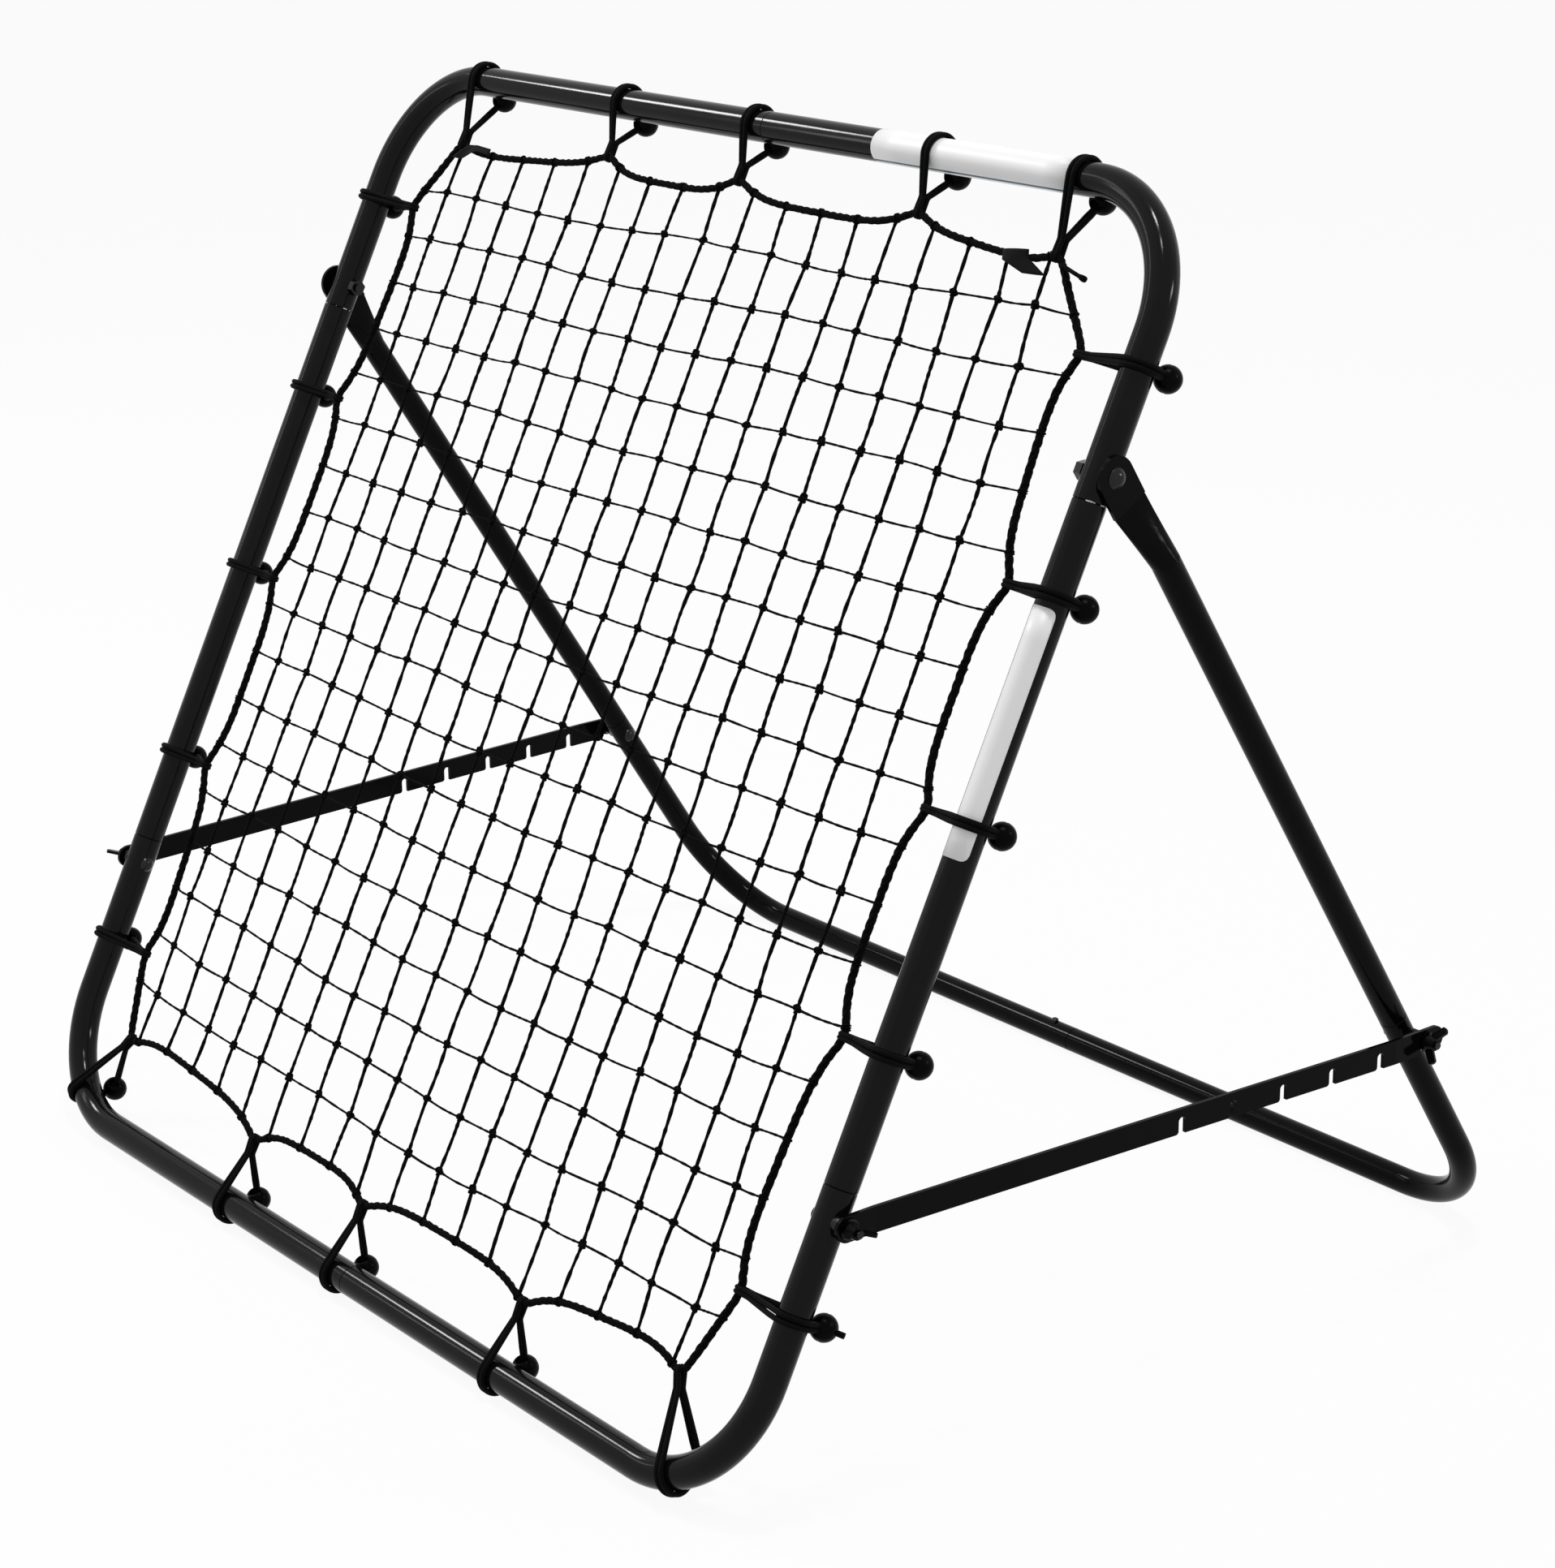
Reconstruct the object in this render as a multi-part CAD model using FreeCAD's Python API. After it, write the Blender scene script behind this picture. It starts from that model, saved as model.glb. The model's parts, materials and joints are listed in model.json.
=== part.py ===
import FreeCAD, Part
import math
import os

from FreeCAD import Vector

# A pitch back rebounder: a leaning square frame of steel tube with a net hung in it on ball bungees, and a
# U-shaped rear support that folds on two hinge bolts and is set by two notched bars.
# X runs along the frame's width, Y from the front to the rear and Z up. The origin is on the ground, under
# the middle of the object. All sizes are in millimetres.

# main frame
frame_width = 1000.0
frame_height = 1000.0
tube_diameter = 25.4
tube_wall = 1.2
corner_radius = 100.0
lean_angle = 63.0
hinge_up = 771.0
pivot_up = 221.0
hinge_to_seam = 21.0
pivot_to_seam = 23.0
top_seam_x = 14.0
bottom_seam_x = 9.0

# joints between tubes: a reduced end goes into the next tube
spigot_length = 40.0
spigot_clearance = 0.1
swage_length = 8.0
seam_chamfer = 0.6

# rear support
rear_diameter = 22.0
rear_wall = 1.2
rear_corner_radius = 97.0
leg_length = 818.0
leg_gap = 1.3
hook_down = 582.0
hook_to_seam = 18.0
cross_seam_x = 12.0
flat_width = 32.0
flat_thickness = 3.2
flat_length = 26.0
press_end = 76.0
press_corner = 62.0
cavity_start = 38.0

# bars that set the lean
bar_width = 20.0
bar_thickness = 3.0
bar_end = 20.0
bar_pivot_end = 11.0
notch_count = 5
notch_pitch = 50.5
notch_width = 6.6
notch_clearance = 0.3
notch_corner = 2.6
hook_slant = 26.0
pivot_pad = 24.0
hook_pad = 34.0
spacer_length = 12.6

# bolts, nuts and washers
hinge_bolt = 8.0
bar_bolt = 6.0
running_clearance = 0.06
face_gap = 0.35
saddle_crest = 1.0
pivot_saddle_crest = 5.0
hinge_saddle_diameter = 20.0
bar_washer_diameter = 16.0
bar_washer_thickness = 1.4
spacer_diameter = 13.0
hinge_head_diameter = 16.0
hinge_head_height = 4.4
bar_head_diameter = 13.0
bar_head_height = 3.4
nut_across_flats = 13.0
nut_height = 6.5
bolt_tip = 2.5

# wing nuts
hub_diameter = 12.0
hub_top_diameter = 9.6
hub_height = 8.0
wing_reach = 15.5
wing_height = 13.5
wing_thickness = 2.6
wing_tip_radius = 4.2
wing_root = 1.0
wing_foot = 1.6
wing_skirt = 1.5
wing_shoulder = 0.6

# snap button that locks the rear cross tube
button_diameter = 7.0
button_rise = 3.4
button_dome = 1.75
button_flange = 9.0
button_flange_height = 1.2
button_from_seam = 26.0
button_clearance = 0.08
spring_strip = 0.7
spring_width = 5.0
spring_length = 30.0
spring_gap = 0.4
spring_tongue = 3.0
spring_bend = 0.7

# net, its border rope and the ball bungees
cord_diameter = 5.0
cord_sides = 6
rope_diameter = 6.0
rope_sides = 6
cord_clearance = 0.3
ball_diameter = 21.0
ball_flat = 8.6
ball_seat = 4.0
wrap_flat = 0.5
wrap_steps = 5
bight_steps = 4
scallop_depth = 14.0
scallop_power = 4.0
scallop_shares = (0.05, 0.13, 0.3, 0.5, 0.7, 0.87, 0.95)
anchor_flat = 4.0
string_width = 2.6
column_pitch = 55.5
column_strings = 14
row_pitch = 44.0
row_strings = 19
row_start = 90.0

# where the bungees sit: distances along each side, from the middle of the width or up from the bottom tube
top_stations = (-387.0, -179.0, -4.0, 214.0, 372.0)
bottom_stations = (-180.0, -12.0, 212.0)
right_stations = (147.0, 342.0, 512.0, 680.0, 850.0)
left_stations = (150.0, 325.0, 502.0, 672.0, 853.0)
bend_turns = (34.0, 24.0)
top_reach = 46.0
side_reach = 48.0
bottom_reach = 57.0
end_reach = 59.0
bend_reach = 72.0
level_ball = (-8.0, 24.5)
upright_ball = (8.0, 23.2)

# worked-out sizes
tube_r = tube_diameter / 2
rear_r = rear_diameter / 2
half_width = (frame_width - tube_diameter) / 2
slope_length = frame_height - tube_diameter
leg_offset = tube_r + leg_gap + rear_r
lean = math.radians(lean_angle)
upper_seam = hinge_up - hinge_to_seam
lower_seam = pivot_up + pivot_to_seam
leg_seam = hook_down - hook_to_seam
cord_r = cord_diameter / 2
rope_r = rope_diameter / 2
wrap_r = tube_r + cord_clearance + cord_r
bight_r = rope_r + cord_clearance + cord_r
bar_face = tube_r + pivot_saddle_crest + face_gap
hook_face = leg_offset + rear_r + spacer_length + face_gap

X = Vector(1, 0, 0)
Y = Vector(0, 1, 0)
Z = Vector(0, 0, 1)
hook_wing_way = Vector(0, 0.45, -0.89)
pivot_wing_way = Vector(0, -0.2, 0.98)
parts = {}


def make_solid(faces):
    solid = Part.Solid(Part.Shell(faces))
    if solid.Volume < 0:
        solid.reverse()
    return solid


def rod(radius, start, end):
    along = end - start
    return Part.makeCylinder(radius, along.Length, start, along)


def ring(outer, inner, start, end):
    return rod(outer, start, end).cut(rod(inner, start, end))


def sweep(edges, radius):
    path = Part.Wire(edges)
    first = edges[0]
    start = first.valueAt(first.FirstParameter)
    tangent = first.tangentAt(first.FirstParameter)
    disc = Part.Face(Part.Wire(Part.makeCircle(radius, start, tangent)))
    return path.makePipe(disc)


def bent_path(start, corner, end, radius):
    """Two straight runs joined by one tangent arc."""
    to_start = (start - corner).normalize()
    to_end = (end - corner).normalize()
    first = corner + to_start * radius
    last = corner + to_end * radius
    centre = corner + (to_start + to_end) * radius
    middle = centre + (corner - centre).normalize() * radius
    runs = [Part.LineSegment(start, first), Part.Arc(first, middle, last), Part.LineSegment(last, end)]
    return [run.toShape() for run in runs]


def spigot(tip, outward, outer_r, wall):
    """The reduced end of a tube and the hollow inside it. tip is the centre of the seam."""
    reduced_r = outer_r - wall - spigot_clearance
    end = tip + outward * spigot_length
    body = rod(reduced_r, tip - outward * swage_length / 2, end)
    hollow = rod(reduced_r - wall, tip - outward * swage_length / 2, end + outward)
    neck = Part.makeCone(outer_r - wall, reduced_r - wall, swage_length, tip - outward * swage_length, outward)
    return body, hollow.fuse(neck)


def chamfer_end(tube, centre, outward, radius):
    """Breaks the outer edge of a tube's end, which shows as the fine line of a seam."""
    inner = radius - seam_chamfer
    ring_body = ring(radius + 1, inner - 1, centre - outward * seam_chamfer, centre + outward * 0.01)
    cone = Part.makeCone(radius, inner, seam_chamfer, centre - outward * seam_chamfer, outward)
    core = rod(inner - 0.5, centre - outward * seam_chamfer, centre + outward * 0.01)
    return tube.cut(ring_body.cut(cone).cut(core))


def bent_tube(start, corner, end, bend_radius, radius, wall, spigot_at_end):
    """A tube with one bend. Its start is a socket, its end a socket or a spigot."""
    outward = (end - corner).normalize()
    back = (start - corner).normalize()
    outer = sweep(bent_path(start, corner, end, bend_radius), radius)
    if spigot_at_end:
        body, hollow = spigot(end, outward, radius, wall)
        inner = sweep(bent_path(start, corner, end - outward * swage_length, bend_radius), radius - wall)
        tube = outer.fuse(body).cut(inner).cut(hollow)
    else:
        tube = outer.cut(sweep(bent_path(start, corner, end, bend_radius), radius - wall))
    tube = chamfer_end(tube, start, back, radius)
    return chamfer_end(tube, end, outward, radius)


def across(radius, x_low, x_high, y):
    """A rod along X, for a bolt hole through a piece that lies flat in the XY plane."""
    return rod(radius, Vector(x_low, y, 0), Vector(x_high, y, 0))


def one_piece(shape):
    cleaned = shape.removeSplitter()
    if cleaned.ShapeType == "Compound" and len(cleaned.Solids) == 1:
        return cleaned.Solids[0]
    return cleaned


# Main frame, drawn flat: x along the width, y up the slope from the bottom tube, z towards the front.


def corner_tube(side, top):
    seam_y = upper_seam if top else lower_seam
    level = slope_length if top else 0.0
    seam_x = top_seam_x if top else bottom_seam_x
    start = Vector(side * half_width, seam_y, 0)
    corner = Vector(side * half_width, level, 0)
    end = Vector(seam_x, level, 0)
    tube = bent_tube(start, corner, end, corner_radius, tube_r, tube_wall, side < 0)
    bolt_y = hinge_up if top else pivot_up
    bolt = hinge_bolt if top else bar_bolt
    hole = across(bolt / 2, side * half_width - tube_diameter, side * half_width + tube_diameter, bolt_y)
    return one_piece(tube.cut(hole))


def side_tube(side):
    x = side * half_width
    low = Vector(x, lower_seam, 0)
    high = Vector(x, upper_seam, 0)
    outer = rod(tube_r, low, high)
    inner = rod(tube_r - tube_wall, low + Y * swage_length, high - Y * swage_length)
    low_body, low_hollow = spigot(low, Y * -1, tube_r, tube_wall)
    high_body, high_hollow = spigot(high, Y, tube_r, tube_wall)
    tube = outer.fuse([low_body, high_body]).cut([inner, low_hollow, high_hollow])
    tube = chamfer_end(tube, low, Y * -1, tube_r)
    tube = chamfer_end(tube, high, Y, tube_r)
    holes = [
        across(hinge_bolt / 2, x - tube_diameter, x + tube_diameter, hinge_up),
        across(bar_bolt / 2, x - tube_diameter, x + tube_diameter, pivot_up),
    ]
    return one_piece(tube.cut(holes))


def faceted_cord(points, along, rise, origin, radius, sides, closed):
    """A cord of many flat sides along a flat line of points, with mitred corners."""
    side_way = along.cross(rise)
    count = len(points)
    spans = count if closed else count - 1
    directions = []
    for i in range(spans):
        a, b = points[i], points[(i + 1) % count]
        length = math.hypot(b[0] - a[0], b[1] - a[1])
        directions.append(((b[0] - a[0]) / length, (b[1] - a[1]) / length))
    rings = []
    for i in range(count):
        before = directions[(i - 1) % spans] if closed or i > 0 else directions[0]
        after = directions[i % spans] if closed or i < spans else directions[-1]
        normal_a = (-before[1], before[0])
        normal_b = (-after[1], after[0])
        blend = (normal_a[0] + normal_b[0], normal_a[1] + normal_b[1])
        scale = 2.0 / (blend[0] ** 2 + blend[1] ** 2)
        mitre = along * (blend[0] * scale) + rise * (blend[1] * scale)
        centre = origin + along * points[i][0] + rise * points[i][1]
        corners = []
        for k in range(sides):
            turn = math.tau * (k + 0.5) / sides
            corners.append(centre + mitre * (radius * math.cos(turn)) + side_way * (radius * math.sin(turn)))
        rings.append(corners)
    faces = []
    for i in range(spans):
        near, far = rings[i], rings[(i + 1) % count]
        for k in range(sides):
            n = (k + 1) % sides
            faces.append(Part.Face(Part.makePolygon([near[k], near[n], far[n], far[k], near[k]])))
    if not closed:
        for corners in (rings[0], rings[-1]):
            faces.append(Part.Face(Part.makePolygon(corners + corners[:1])))
    return make_solid(faces)


def arc_points(centre, radius, start, end, steps):
    """Points whose chords lie outside the circle, so that the cord never cuts into what it goes round."""
    step = (end - start) / steps
    reach = radius / math.cos(abs(step) / 2)
    points = []
    for i in range(steps):
        turn = start + step * (i + 0.5)
        points.append((centre[0] + reach * math.cos(turn), centre[1] + reach * math.sin(turn)))
    return points


def loop_points(reach, ball):
    """One bungee round its tube: p points away from the net, q to the rear, the tube's centre is 0, 0."""
    distance = math.hypot(ball[0], ball[1])
    ball_turn = math.atan2(ball[1], ball[0])
    leave_tube = ball_turn - math.acos(wrap_r / distance)
    slope = math.asin((wrap_r - bight_r) / reach)
    front_turn = -math.pi / 2 - slope
    bight = (-reach, 0.0)
    to_ball = math.atan2(ball[1] - bight[1], ball[0] - bight[0])
    far = math.hypot(ball[0] - bight[0], ball[1] - bight[1])
    reach_bight = to_ball + math.acos(bight_r / far) - math.tau
    tangent = (wrap_r * math.cos(leave_tube), wrap_r * math.sin(leave_tube))
    into = (tangent[0] - ball[0], tangent[1] - ball[1])
    size = math.hypot(*into)
    start = (ball[0] + into[0] / size * ball_seat, ball[1] + into[1] / size * ball_seat)
    back = (bight[0] + bight_r * math.cos(reach_bight), bight[1] + bight_r * math.sin(reach_bight))
    out = (back[0] - ball[0], back[1] - ball[1])
    size = math.hypot(*out)
    end = (ball[0] + out[0] / size * ball_seat, ball[1] + out[1] / size * ball_seat)
    wrap = arc_points((0.0, 0.0), wrap_r, leave_tube, front_turn, wrap_steps)
    turn = arc_points(bight, bight_r, front_turn, reach_bight, bight_steps)
    return [start] + wrap + turn + [end]


def bungee(station, outward, reach, ball):
    return faceted_cord(loop_points(reach, ball), outward, Z * -1, station, cord_r, cord_sides, False)


def bungee_ball(station, outward, reach, ball):
    """A ball with a flat where its two cords go in."""
    centre = station + outward * ball[0] - Z * ball[1]
    towards = (station - outward * (reach / 2) - centre).normalize()
    flat_turn = math.degrees(math.asin(ball_flat / (ball_diameter / 2)))
    return Part.makeSphere(ball_diameter / 2, centre, towards, -90, flat_turn, 360)


def all_stations():
    """Every bungee: name, side, centre of the tube there, outward direction, reach and place of its ball."""
    rows = []
    for i, x in enumerate(top_stations):
        end = i in (0, len(top_stations) - 1)
        rows.append(("top", i, Vector(x, slope_length, 0), Y, end_reach if end else top_reach, level_ball))
    for side, name, stations in ((1, "right", right_stations), (-1, "left", left_stations)):
        for i, y in enumerate(stations):
            end = i in (0, len(stations) - 1)
            reach = end_reach if end else side_reach
            rows.append((name, i, Vector(side * half_width, y, 0), X * side, reach, upright_ball))
    for i, x in enumerate(bottom_stations):
        rows.append(("bottom", i + 1, Vector(x, 0, 0), Y * -1, bottom_reach, level_ball))
    for side, index, turn in ((-1, 0, bend_turns[0]), (1, len(bottom_stations) + 1, bend_turns[1])):
        outward = Vector(side * math.sin(math.radians(turn)), -math.cos(math.radians(turn)), 0)
        centre = Vector(side * (half_width - corner_radius), corner_radius, 0)
        rows.append(("bottom", index, centre + outward * corner_radius, outward, bend_reach, level_ball))
    return rows


def rope_outline():
    """The border rope's line: held flat at each bungee, and hanging in a scallop between two of them."""
    order = {"bottom": 1, "right": 1, "top": -1, "left": -1}
    line = []
    for side in ("bottom", "right", "top", "left"):
        rows = sorted([row for row in all_stations() if row[0] == side], key=lambda row: row[1] * order[side])
        anchors = [row[2] - row[3] * row[4] for row in rows]
        tangents = [Vector(-row[3].y, row[3].x, 0) for row in rows]
        inward = {"bottom": Y, "right": X * -1, "top": Y * -1, "left": X}[side]
        for i, anchor in enumerate(anchors):
            line.append(anchor - tangents[i] * anchor_flat)
            line.append(anchor + tangents[i] * anchor_flat)
            if i + 1 < len(anchors):
                a, b = line[-1], anchors[i + 1] - tangents[i + 1] * anchor_flat
                for share in scallop_shares:
                    depth = scallop_depth * (1 - abs(2 * share - 1) ** scallop_power)
                    line.append(a + (b - a) * share + inward * depth)
    return [(point.x, point.y) for point in line]


def flat_face(outline):
    corners = [Vector(x, y, 0) for x, y in outline]
    return Part.Face(Part.makePolygon(corners + corners[:1]))


def net_sheet():
    """One flat face with a hole for every mesh, as thick as its string."""
    outline = rope_outline()
    whole = flat_face(outline)
    inside = whole.makeOffset2D(-(rope_r - cord_clearance))
    columns = [column_pitch * (i - (column_strings - 1) / 2) for i in range(column_strings)]
    rows = [row_start + row_pitch * i for i in range(row_strings)]
    half = string_width / 2
    columns = [-frame_width] + columns + [frame_width]
    rows = [-frame_height] + rows + [2 * frame_height]
    holes = []
    for left, right in zip(columns, columns[1:]):
        for low, high in zip(rows, rows[1:]):
            size_x = right - left - 2 * half
            size_y = high - low - 2 * half
            cell = Part.makePlane(size_x, size_y, Vector(left + half, low + half, 0))
            piece = cell.common(inside)
            for face in piece.Faces:
                if face.Area > string_width ** 2:
                    holes.append(face.OuterWire)
    sheet = whole.cut([Part.Face(wire) for wire in holes]).Faces[0]
    return sheet.translated(Z * -half).extrude(Z * string_width), len(holes)


def dome(radius, height, base, outward):
    """A low domed head on a flat base."""
    ball_r = (radius ** 2 + height ** 2) / (2 * height)
    rim_turn = math.degrees(math.asin((ball_r - height) / ball_r))
    return Part.makeSphere(ball_r, base + outward * (height - ball_r), outward, rim_turn, 90, 360)


def hinge_set(side):
    """The hinge bolt with its domed head outside, its nut inside and the curved washer under the leg."""
    axis = X * side
    tube_centre = Vector(side * half_width, hinge_up, 0)
    flat_outside = tube_centre + axis * (leg_offset - rear_r + flat_thickness + face_gap)
    nut_face = tube_centre - axis * tube_r
    head = dome(hinge_head_diameter / 2, hinge_head_height, flat_outside, axis)
    shank = rod(hinge_bolt / 2, nut_face - axis * (nut_height + bolt_tip), flat_outside + axis)
    bolt = one_piece(head.fuse(shank))
    flats = Part.makePolygon([nut_face + Vector(0, math.cos(t), math.sin(t)) * nut_across_flats / math.sqrt(3)
                              for t in [math.tau * k / 6 for k in range(7)]])
    nut = Part.Face(flats).extrude(axis * -nut_height)
    nut = nut.cut(rod(hinge_bolt / 2, nut_face + axis, nut_face - axis * (nut_height + 1)))
    washer = saddle(tube_centre, axis, tube_r, saddle_crest, hinge_saddle_diameter, hinge_bolt)
    return bolt, nut, washer


def saddle(tube_centre, axis, radius, crest, diameter, bolt):
    """A curved washer that seats on a round tube and gives a flat face outside."""
    body = ring(diameter / 2, bolt / 2, tube_centre, tube_centre + axis * (radius + crest))
    return body.cut(rod(radius, tube_centre - Y * diameter, tube_centre + Y * diameter))


def round_bolt(start, end, axis):
    """A bolt with a low domed head at its start."""
    head = dome(bar_head_diameter / 2, bar_head_height, start, axis * -1)
    return one_piece(head.fuse(rod(bar_bolt / 2, start - axis, end)))


def wing_nut(base, axis, up):
    """A wing nut on the bolt axis, its wings along up."""
    bore = bar_bolt / 2 + running_clearance
    hub = Part.makeCone(hub_diameter / 2, hub_top_diameter / 2, hub_height, base, axis)
    wide = axis.cross(up)
    shapes = [hub]
    for side in (-1, 1):
        outward = up * side
        root = hub_top_diameter / 2 - wing_root
        low = base + outward * root + axis * wing_foot
        bottom = base + outward * (hub_diameter / 2 + wing_skirt) + axis * wing_foot
        tip_centre = base + outward * (wing_reach - wing_tip_radius) + axis * (wing_height - wing_tip_radius)
        tip_low = tip_centre + outward * wing_tip_radius
        tip_top = tip_centre + (outward + axis).normalize() * wing_tip_radius
        tip_back = tip_centre + axis * wing_tip_radius
        high = base + outward * root + axis * (hub_height - wing_shoulder)
        edges = [
            Part.LineSegment(low, bottom).toShape(),
            Part.LineSegment(bottom, tip_low).toShape(),
            Part.Arc(tip_low, tip_top, tip_back).toShape(),
            Part.LineSegment(tip_back, high).toShape(),
            Part.LineSegment(high, low).toShape(),
        ]
        plate = Part.Face(Part.Wire(edges)).translated(wide * (-wing_thickness / 2))
        shapes.append(plate.extrude(wide * wing_thickness))
    nut = shapes[0].fuse(shapes[1:])
    return one_piece(nut.cut(rod(bore, base - axis, base + axis * (wing_height + 1))))


# Rear support, drawn flat: the hinge axis is y = 0 and the legs run down to -leg_length.


def stadium(width, depth, x_inner, y):
    """A flat section with round ends: width along z, depth along x from its inner face outward."""
    half = depth / 2
    reach = width / 2 - half
    x_mid = x_inner + half
    inner_low = Vector(x_inner, y, -reach)
    inner_high = Vector(x_inner, y, reach)
    outer_low = Vector(x_inner + depth, y, -reach)
    outer_high = Vector(x_inner + depth, y, reach)
    return Part.Wire([
        Part.LineSegment(inner_low, inner_high).toShape(),
        Part.Arc(inner_high, Vector(x_mid, y, width / 2), outer_high).toShape(),
        Part.LineSegment(outer_high, outer_low).toShape(),
        Part.Arc(outer_low, Vector(x_mid, y, -width / 2), inner_low).toShape(),
    ])


def round_section(radius, x_centre, y):
    """A circle in four arcs that match the four edges of a flat section."""
    def at(turn):
        return Vector(x_centre + radius * math.cos(turn), y, radius * math.sin(turn))
    side = math.radians(press_corner)
    turns = [(math.pi + side, math.pi - side), (math.pi - side, side), (side, -side), (-side, side - math.pi)]
    edges = []
    for start, end in turns:
        edges.append(Part.Arc(at(start), at((start + end) / 2), at(end)).toShape())
    return Part.Wire(edges)


def pressed_end(radius, y_flat, width, depth, x_inner):
    """The part of a leg that goes from its pressed flat end to its round tube."""
    flat = stadium(width, depth, x_inner, y_flat)
    return Part.makeLoft([flat, round_section(radius, leg_offset, -press_end)], True, True)


def leg_tube(side):
    """A straight leg whose upper end is pressed flat, with its lower end reduced to go into the corner."""
    x_centre = leg_offset
    x_inner = leg_offset - rear_r
    tongue_edge = flat_width / 2
    disc = rod(tongue_edge, Vector(x_inner, 0, 0), Vector(x_inner + flat_thickness, 0, 0))
    strip = Part.makeBox(flat_thickness, flat_length, flat_width, Vector(x_inner, -flat_length, -tongue_edge))
    pressed = pressed_end(rear_r, -flat_length, flat_width, flat_thickness, x_inner)
    seam = Vector(x_centre, -leg_seam, 0)
    straight = rod(rear_r, Vector(x_centre, -press_end, 0), seam)
    body, hollow = spigot(seam, Y * -1, rear_r, rear_wall)
    bore = rod(rear_r - rear_wall, Vector(x_centre, -press_end, 0), seam + Y * swage_length)
    slit = flat_width - 4 * rear_wall
    cavity = pressed_end(rear_r - rear_wall, -cavity_start, slit, rear_wall, x_inner + rear_wall)
    leg = disc.fuse([strip, pressed, straight, body]).cut([bore, hollow, cavity])
    leg = chamfer_end(leg, seam, Y * -1, rear_r)
    hinge_hole = across(hinge_bolt / 2 + running_clearance, 0, leg_offset + rear_r, 0)
    hook_hole = across(bar_bolt / 2, 0, leg_offset + rear_diameter, -hook_down)
    leg = one_piece(leg.cut([hinge_hole, hook_hole]))
    return seat_at_side(leg, side)


def seat_at_side(shape, side):
    """Moves a piece drawn from the right-hand side tube's axis to the side where it belongs."""
    moved = shape.translated(X * half_width)
    if side > 0:
        return moved
    return moved.mirror(Vector(0, 0, 0), X)


def rear_corner(side):
    start = Vector(side * (half_width + leg_offset), -leg_seam, 0)
    corner = Vector(side * (half_width + leg_offset), -leg_length, 0)
    end = Vector(cross_seam_x, -leg_length, 0)
    tube = bent_tube(start, corner, end, rear_corner_radius, rear_r, rear_wall, side > 0)
    hole = across(bar_bolt / 2, start.x - rear_diameter, start.x + rear_diameter, -hook_down)
    return one_piece(tube.cut([hole, button_hole(button_diameter / 2 + button_clearance)]))


def button_frame():
    """The centre of the cross tube at the button, and the upward direction there, in the flat drawing."""
    centre = Vector(cross_seam_x - button_from_seam, -leg_length, 0)
    return centre, Vector(0, math.sin(leg_drop), -math.cos(leg_drop))


def button_hole(radius):
    centre, up = button_frame()
    return rod(radius, centre, centre + up * rear_diameter)


def hook_set(side):
    """The bolt that a bar hangs on, with its spacer and washer."""
    leg_axis = Vector(leg_offset, -hook_down, 0)
    inner_side = leg_axis - X * rear_r
    washer_face = Vector(hook_face + bar_thickness + face_gap, -hook_down, 0)
    washer_top = washer_face + X * bar_washer_thickness
    end = washer_top + X * (hub_height + face_gap + bolt_tip)
    bolt = round_bolt(inner_side, end, X)
    spacer = ring(spacer_diameter / 2, bar_bolt / 2, leg_axis, Vector(hook_face - face_gap, -hook_down, 0))
    spacer = spacer.cut(rod(rear_r, leg_axis - Y * rear_diameter, leg_axis + Y * rear_diameter))
    washer = ring(bar_washer_diameter / 2, bar_bolt / 2, washer_face, washer_top)
    nut = wing_nut(washer_top + X * face_gap, X, hook_wing_way.normalize())
    return [seat_at_side(shape, side) for shape in (bolt, spacer, washer, nut)]


def pivot_set(side):
    """The bolt that a bar turns on, with its curved washer, plain washer and wing nut."""
    tube_axis = Vector(0, pivot_up, 0)
    outer_face = Vector(bar_face + bar_thickness + face_gap, pivot_up, 0)
    washer_top = outer_face + X * bar_washer_thickness
    end = washer_top + X * (hub_height + face_gap + bolt_tip)
    bolt = round_bolt(tube_axis - X * tube_r, end, X)
    curved = saddle(tube_axis, X, tube_r, pivot_saddle_crest, bar_washer_diameter, bar_bolt)
    washer = ring(bar_washer_diameter / 2, bar_bolt / 2, outer_face, washer_top)
    nut = wing_nut(washer_top + X * face_gap, X, pivot_wing_way.normalize())
    return [seat_at_side(shape, side) for shape in (bolt, curved, washer, nut)]


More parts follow.
